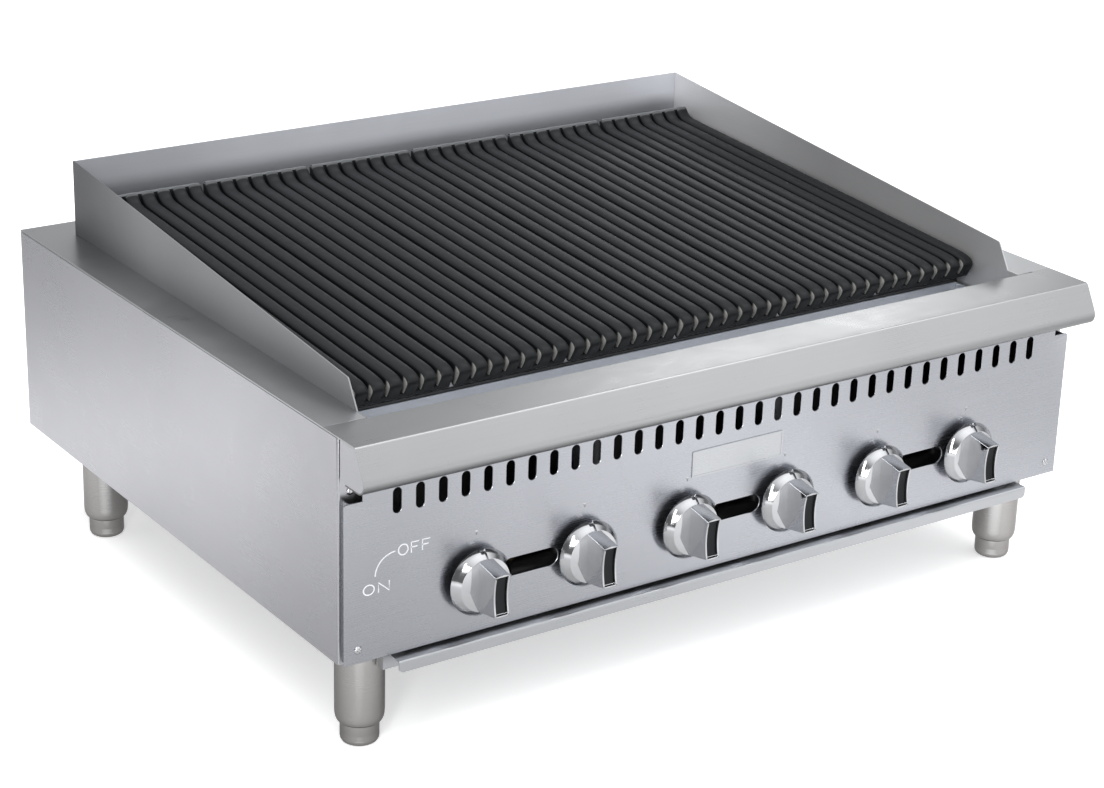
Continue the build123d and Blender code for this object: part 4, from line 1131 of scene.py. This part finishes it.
# ------------------------------------------------------------------ drip tray
tray_low, tray_high = node_box("drip_tray")
TRAY = 1.2
lip_y, tray_rear = tray_low[1], tray_high[1]
tray_base, tray_top = tray_low[2], tray_high[2]
fascia_half = tray_high[0]
lip_half = fascia_half - 6.5
fascia_y = lip_y + 19.0
pan_half, flange_half = 372.0, 383.0
flange_z = tray_top - 2.2 + TRAY / 2
pan_base = tray_base + 1.0 + TRAY / 2
pan_line = [
    (-flange_half, flange_z),
    (-pan_half, flange_z),
    (-pan_half, pan_base),
    (pan_half, pan_base),
    (pan_half, flange_z),
    (flange_half, flange_z),
]
lip_line = [
    (lip_y + TRAY / 2, tray_top - 3.0),
    (lip_y + TRAY / 2, tray_top - TRAY / 2),
    (fascia_y + 1.0, tray_top - TRAY / 2),
]
fascia_line = [
    (fascia_y + TRAY / 2, tray_base),
    (fascia_y + TRAY / 2, tray_top - 0.2),
]


def lip_face():
    """The front of the pull lip, with rounded lower corners."""
    radius, low_z, high_z = 5.0, tray_top - 12.4, tray_top - 3.0
    outline = [(-lip_half, high_z)]
    for side, start in ((-1, 180), (1, 270)):
        cx = side * (lip_half - radius)
        for turn in [math.radians(start + t) for t in range(0, 91, 10)]:
            spot_z = low_z + radius + radius * math.sin(turn)
            outline.append((cx + radius * math.cos(turn), spot_z))
    outline.append((lip_half, high_z))
    return extruded(outline, "Y", lip_y, lip_y + TRAY)


end_y, end_z = fascia_y + TRAY + 8, tray_top - 0.2
fascia_end = box_shape(
    (-fascia_half, fascia_y + TRAY, tray_base), (-fascia_half + TRAY, end_y, end_z)
)
tray_shape = join(
    extruded(folded(pan_line, TRAY, 2.0, 5), "Y", fascia_y + TRAY, tray_rear),
    box_shape((-pan_half, tray_rear - TRAY, pan_base), (pan_half, tray_rear, flange_z - TRAY / 2)),
    extruded(folded(lip_line, TRAY, 1.3, 6), "X", -lip_half, lip_half),
    lip_face(),
    extruded(folded(fascia_line, TRAY, 1.0), "X", -fascia_half, fascia_half),
    fascia_end,
    flipped_x(fascia_end),
)
add_piece("tray_pan", tray_shape, steel_tray, "tray", ["drip_tray"])

# ------------------------------------------------------------------ floor, light and camera
FLOOR_HALF = 30
PAPER_TONE = 0.94
CAMERA_LIFT = 0.45
GLOSSY_LIFT = 0.35
REFLECTED_TONE = 0.66
floor_corners = [(a * FLOOR_HALF, b * FLOOR_HALF, 0) for a, b in ((-1, -1), (1, -1), (1, 1), (-1, 1))]
floor_mesh = bpy.data.meshes.new("floor")
floor_mesh.from_pydata(floor_corners, [], [[0, 1, 2, 3]])
floor = bpy.data.objects.new("floor", floor_mesh)
bpy.context.scene.collection.objects.link(floor)
floor_paint, floor_tree, floor_bsdf = new_material("floor_paper")
seen_by = make(floor_tree, "ShaderNodeLightPath")
spot = make(floor_tree, "ShaderNodeTexCoord").outputs["Object"]


def floor_falloff(centre, start, end, low, high):
    """A tone from low to high with distance from a point of the floor."""
    away = vector_node(floor_tree, "DISTANCE", {0: spot, 1: centre}, "Value")
    return span(floor_tree, away, low, high, start, end, "SMOOTHSTEP")


# painted shade for reflections: glossy rays see the floor dimmed overall and darker round three spots,
# which puts darker patches into the steel's reflections
dim_corner = floor_falloff((-0.5, -0.35, 0.0), 0.2, 1.0, 0.64, 1.0)
dim_rear = floor_falloff((-0.95, 1.35, 0.0), 0.1, 1.1, 0.4, 1.0)
dim_right = floor_falloff((0.95, -0.8, 0.0), 0.15, 0.65, 0.7, 1.0)
reflected = math_node(floor_tree, "MULTIPLY", dim_rear, dim_right)
reflected = math_node(floor_tree, "MULTIPLY", dim_corner, reflected)
reflected = math_node(floor_tree, "MULTIPLY", reflected, REFLECTED_TONE)
tone = make(
    floor_tree,
    "ShaderNodeMix",
    {"Factor": seen_by.outputs["Is Glossy Ray"], "A": 1.0, "B": reflected},
    data_type="FLOAT",
).outputs["Result"]
# painted light: camera rays see the floor glow a little, which lightens the shadows on it; glossy rays
# see a weaker glow in the painted tone
lift = math_node(floor_tree, "MULTIPLY", seen_by.outputs["Is Camera Ray"], CAMERA_LIFT)
glossy_lift = math_node(floor_tree, "MULTIPLY", seen_by.outputs["Is Glossy Ray"], reflected)
lift = math_node(floor_tree, "ADD", lift, math_node(floor_tree, "MULTIPLY", glossy_lift, GLOSSY_LIFT))
floor_tree.links.new(lift, floor_bsdf.inputs["Emission Strength"])
floor_bsdf.inputs["Emission Color"].default_value = (1, 1, 1, 1)
paper = math_node(floor_tree, "MULTIPLY", tone, PAPER_TONE)
floor_tree.links.new(paper, floor_bsdf.inputs["Base Color"])
floor_bsdf.inputs["Roughness"].default_value = 0.9
floor_bsdf.inputs["Specular IOR Level"].default_value = 0.0
# seen from below, the floor is clear, so that the underside can be looked at
underneath = make(floor_tree, "ShaderNodeNewGeometry").outputs["Backfacing"]
clear = make(floor_tree, "ShaderNodeBsdfTransparent").outputs["BSDF"]
surface = make(
    floor_tree, "ShaderNodeMixShader", {0: underneath, 1: floor_bsdf.outputs["BSDF"], 2: clear}
).outputs["Shader"]
floor_tree.links.new(surface, floor_tree.nodes["Material Output"].inputs["Surface"])
floor_mesh.materials.append(floor_paint)

world = bpy.data.worlds.new("studio")
bpy.context.scene.world = world
world.use_nodes = True
sky = world.node_tree
looking = make(sky, "ShaderNodeTexCoord").outputs["Generated"]


def glow(centre, start, end, strength):
    """A soft bright area of the studio round a direction."""
    toward = Vector(centre).normalized()
    closeness = vector_node(sky, "DOT_PRODUCT", {0: looking, 1: toward}, "Value")
    return span(sky, closeness, 0.0, strength, start, end, "SMOOTHSTEP")


# each glow is (direction, closeness where it starts, closeness where it is full, strength)
GLOWS = [
    ((0.45, -0.85, 0.28), 0.35, 0.95, 0.95),
    ((0.6, 0.75, 0.25), 0.6, 1.0, 0.3),
    ((0.0, 0.0, 1.0), 0.45, 0.95, 0.9),
    ((0.61, 0.71, 0.345), 0.992, 1.0, 2.6),
    ((0.55, 0.05, 0.84), 0.95, 1.0, 1.8),
    ((-0.6, 0.75, 0.2), 0.5, 1.0, 0.2),
]
AMBIENT = 0.16
brightness = glow(*GLOWS[0])
for extra in GLOWS[1:]:
    brightness = math_node(sky, "ADD", brightness, glow(*extra))
brightness = math_node(sky, "ADD", brightness, AMBIENT)
background = sky.nodes["Background"]
background.inputs["Color"].default_value = (0.98, 0.99, 1.0, 1)
sky.links.new(brightness, background.inputs["Strength"])


def softbox(name, place_at, aim_at, size, power, glossy=True):
    light = bpy.data.lights.new(name, "AREA")
    light.shape = "RECTANGLE"
    light.size, light.size_y = size
    light.energy = power
    lamp = bpy.data.objects.new(name, light)
    lamp.location = place_at
    lamp.rotation_euler = (Vector(aim_at) - Vector(place_at)).to_track_quat("-Z", "Y").to_euler()
    lamp.visible_glossy = glossy
    bpy.context.scene.collection.objects.link(lamp)


AIM = (0.0, 0.0, 0.25)
SENSOR_WIDTH, LENS = 36.0, 84.76
CAMERA_AT = (-1.5414, -2.2182, 1.2283)
CAMERA_FORWARD = (0.5341, 0.7632, -0.3638)
CAMERA_UP = (0.1843, 0.3148, 0.9311)
softbox("overhead_softbox", (0.0, -0.2, 3.2), AIM, (4.0, 4.0), 105.0, glossy=False)
softbox("strip_softbox", (-1.95, -1.95, 1.5), (0.0, 0.0, 1.0), (0.35, 2.6), 34.0)

camera_data = bpy.data.cameras.new("camera")
camera_data.sensor_width = SENSOR_WIDTH
camera_data.lens = LENS
camera = bpy.data.objects.new("camera", camera_data)
forward = Vector(CAMERA_FORWARD).normalized()
right = forward.cross(Vector(CAMERA_UP)).normalized()
up = right.cross(forward)
camera.matrix_world = Matrix(
    (
        (right.x, up.x, -forward.x, CAMERA_AT[0]),
        (right.y, up.y, -forward.y, CAMERA_AT[1]),
        (right.z, up.z, -forward.z, CAMERA_AT[2]),
        (0, 0, 0, 1),
    )
)
bpy.context.scene.collection.objects.link(camera)
bpy.context.scene.camera = camera
bpy.context.scene.view_settings.view_transform = "Standard"
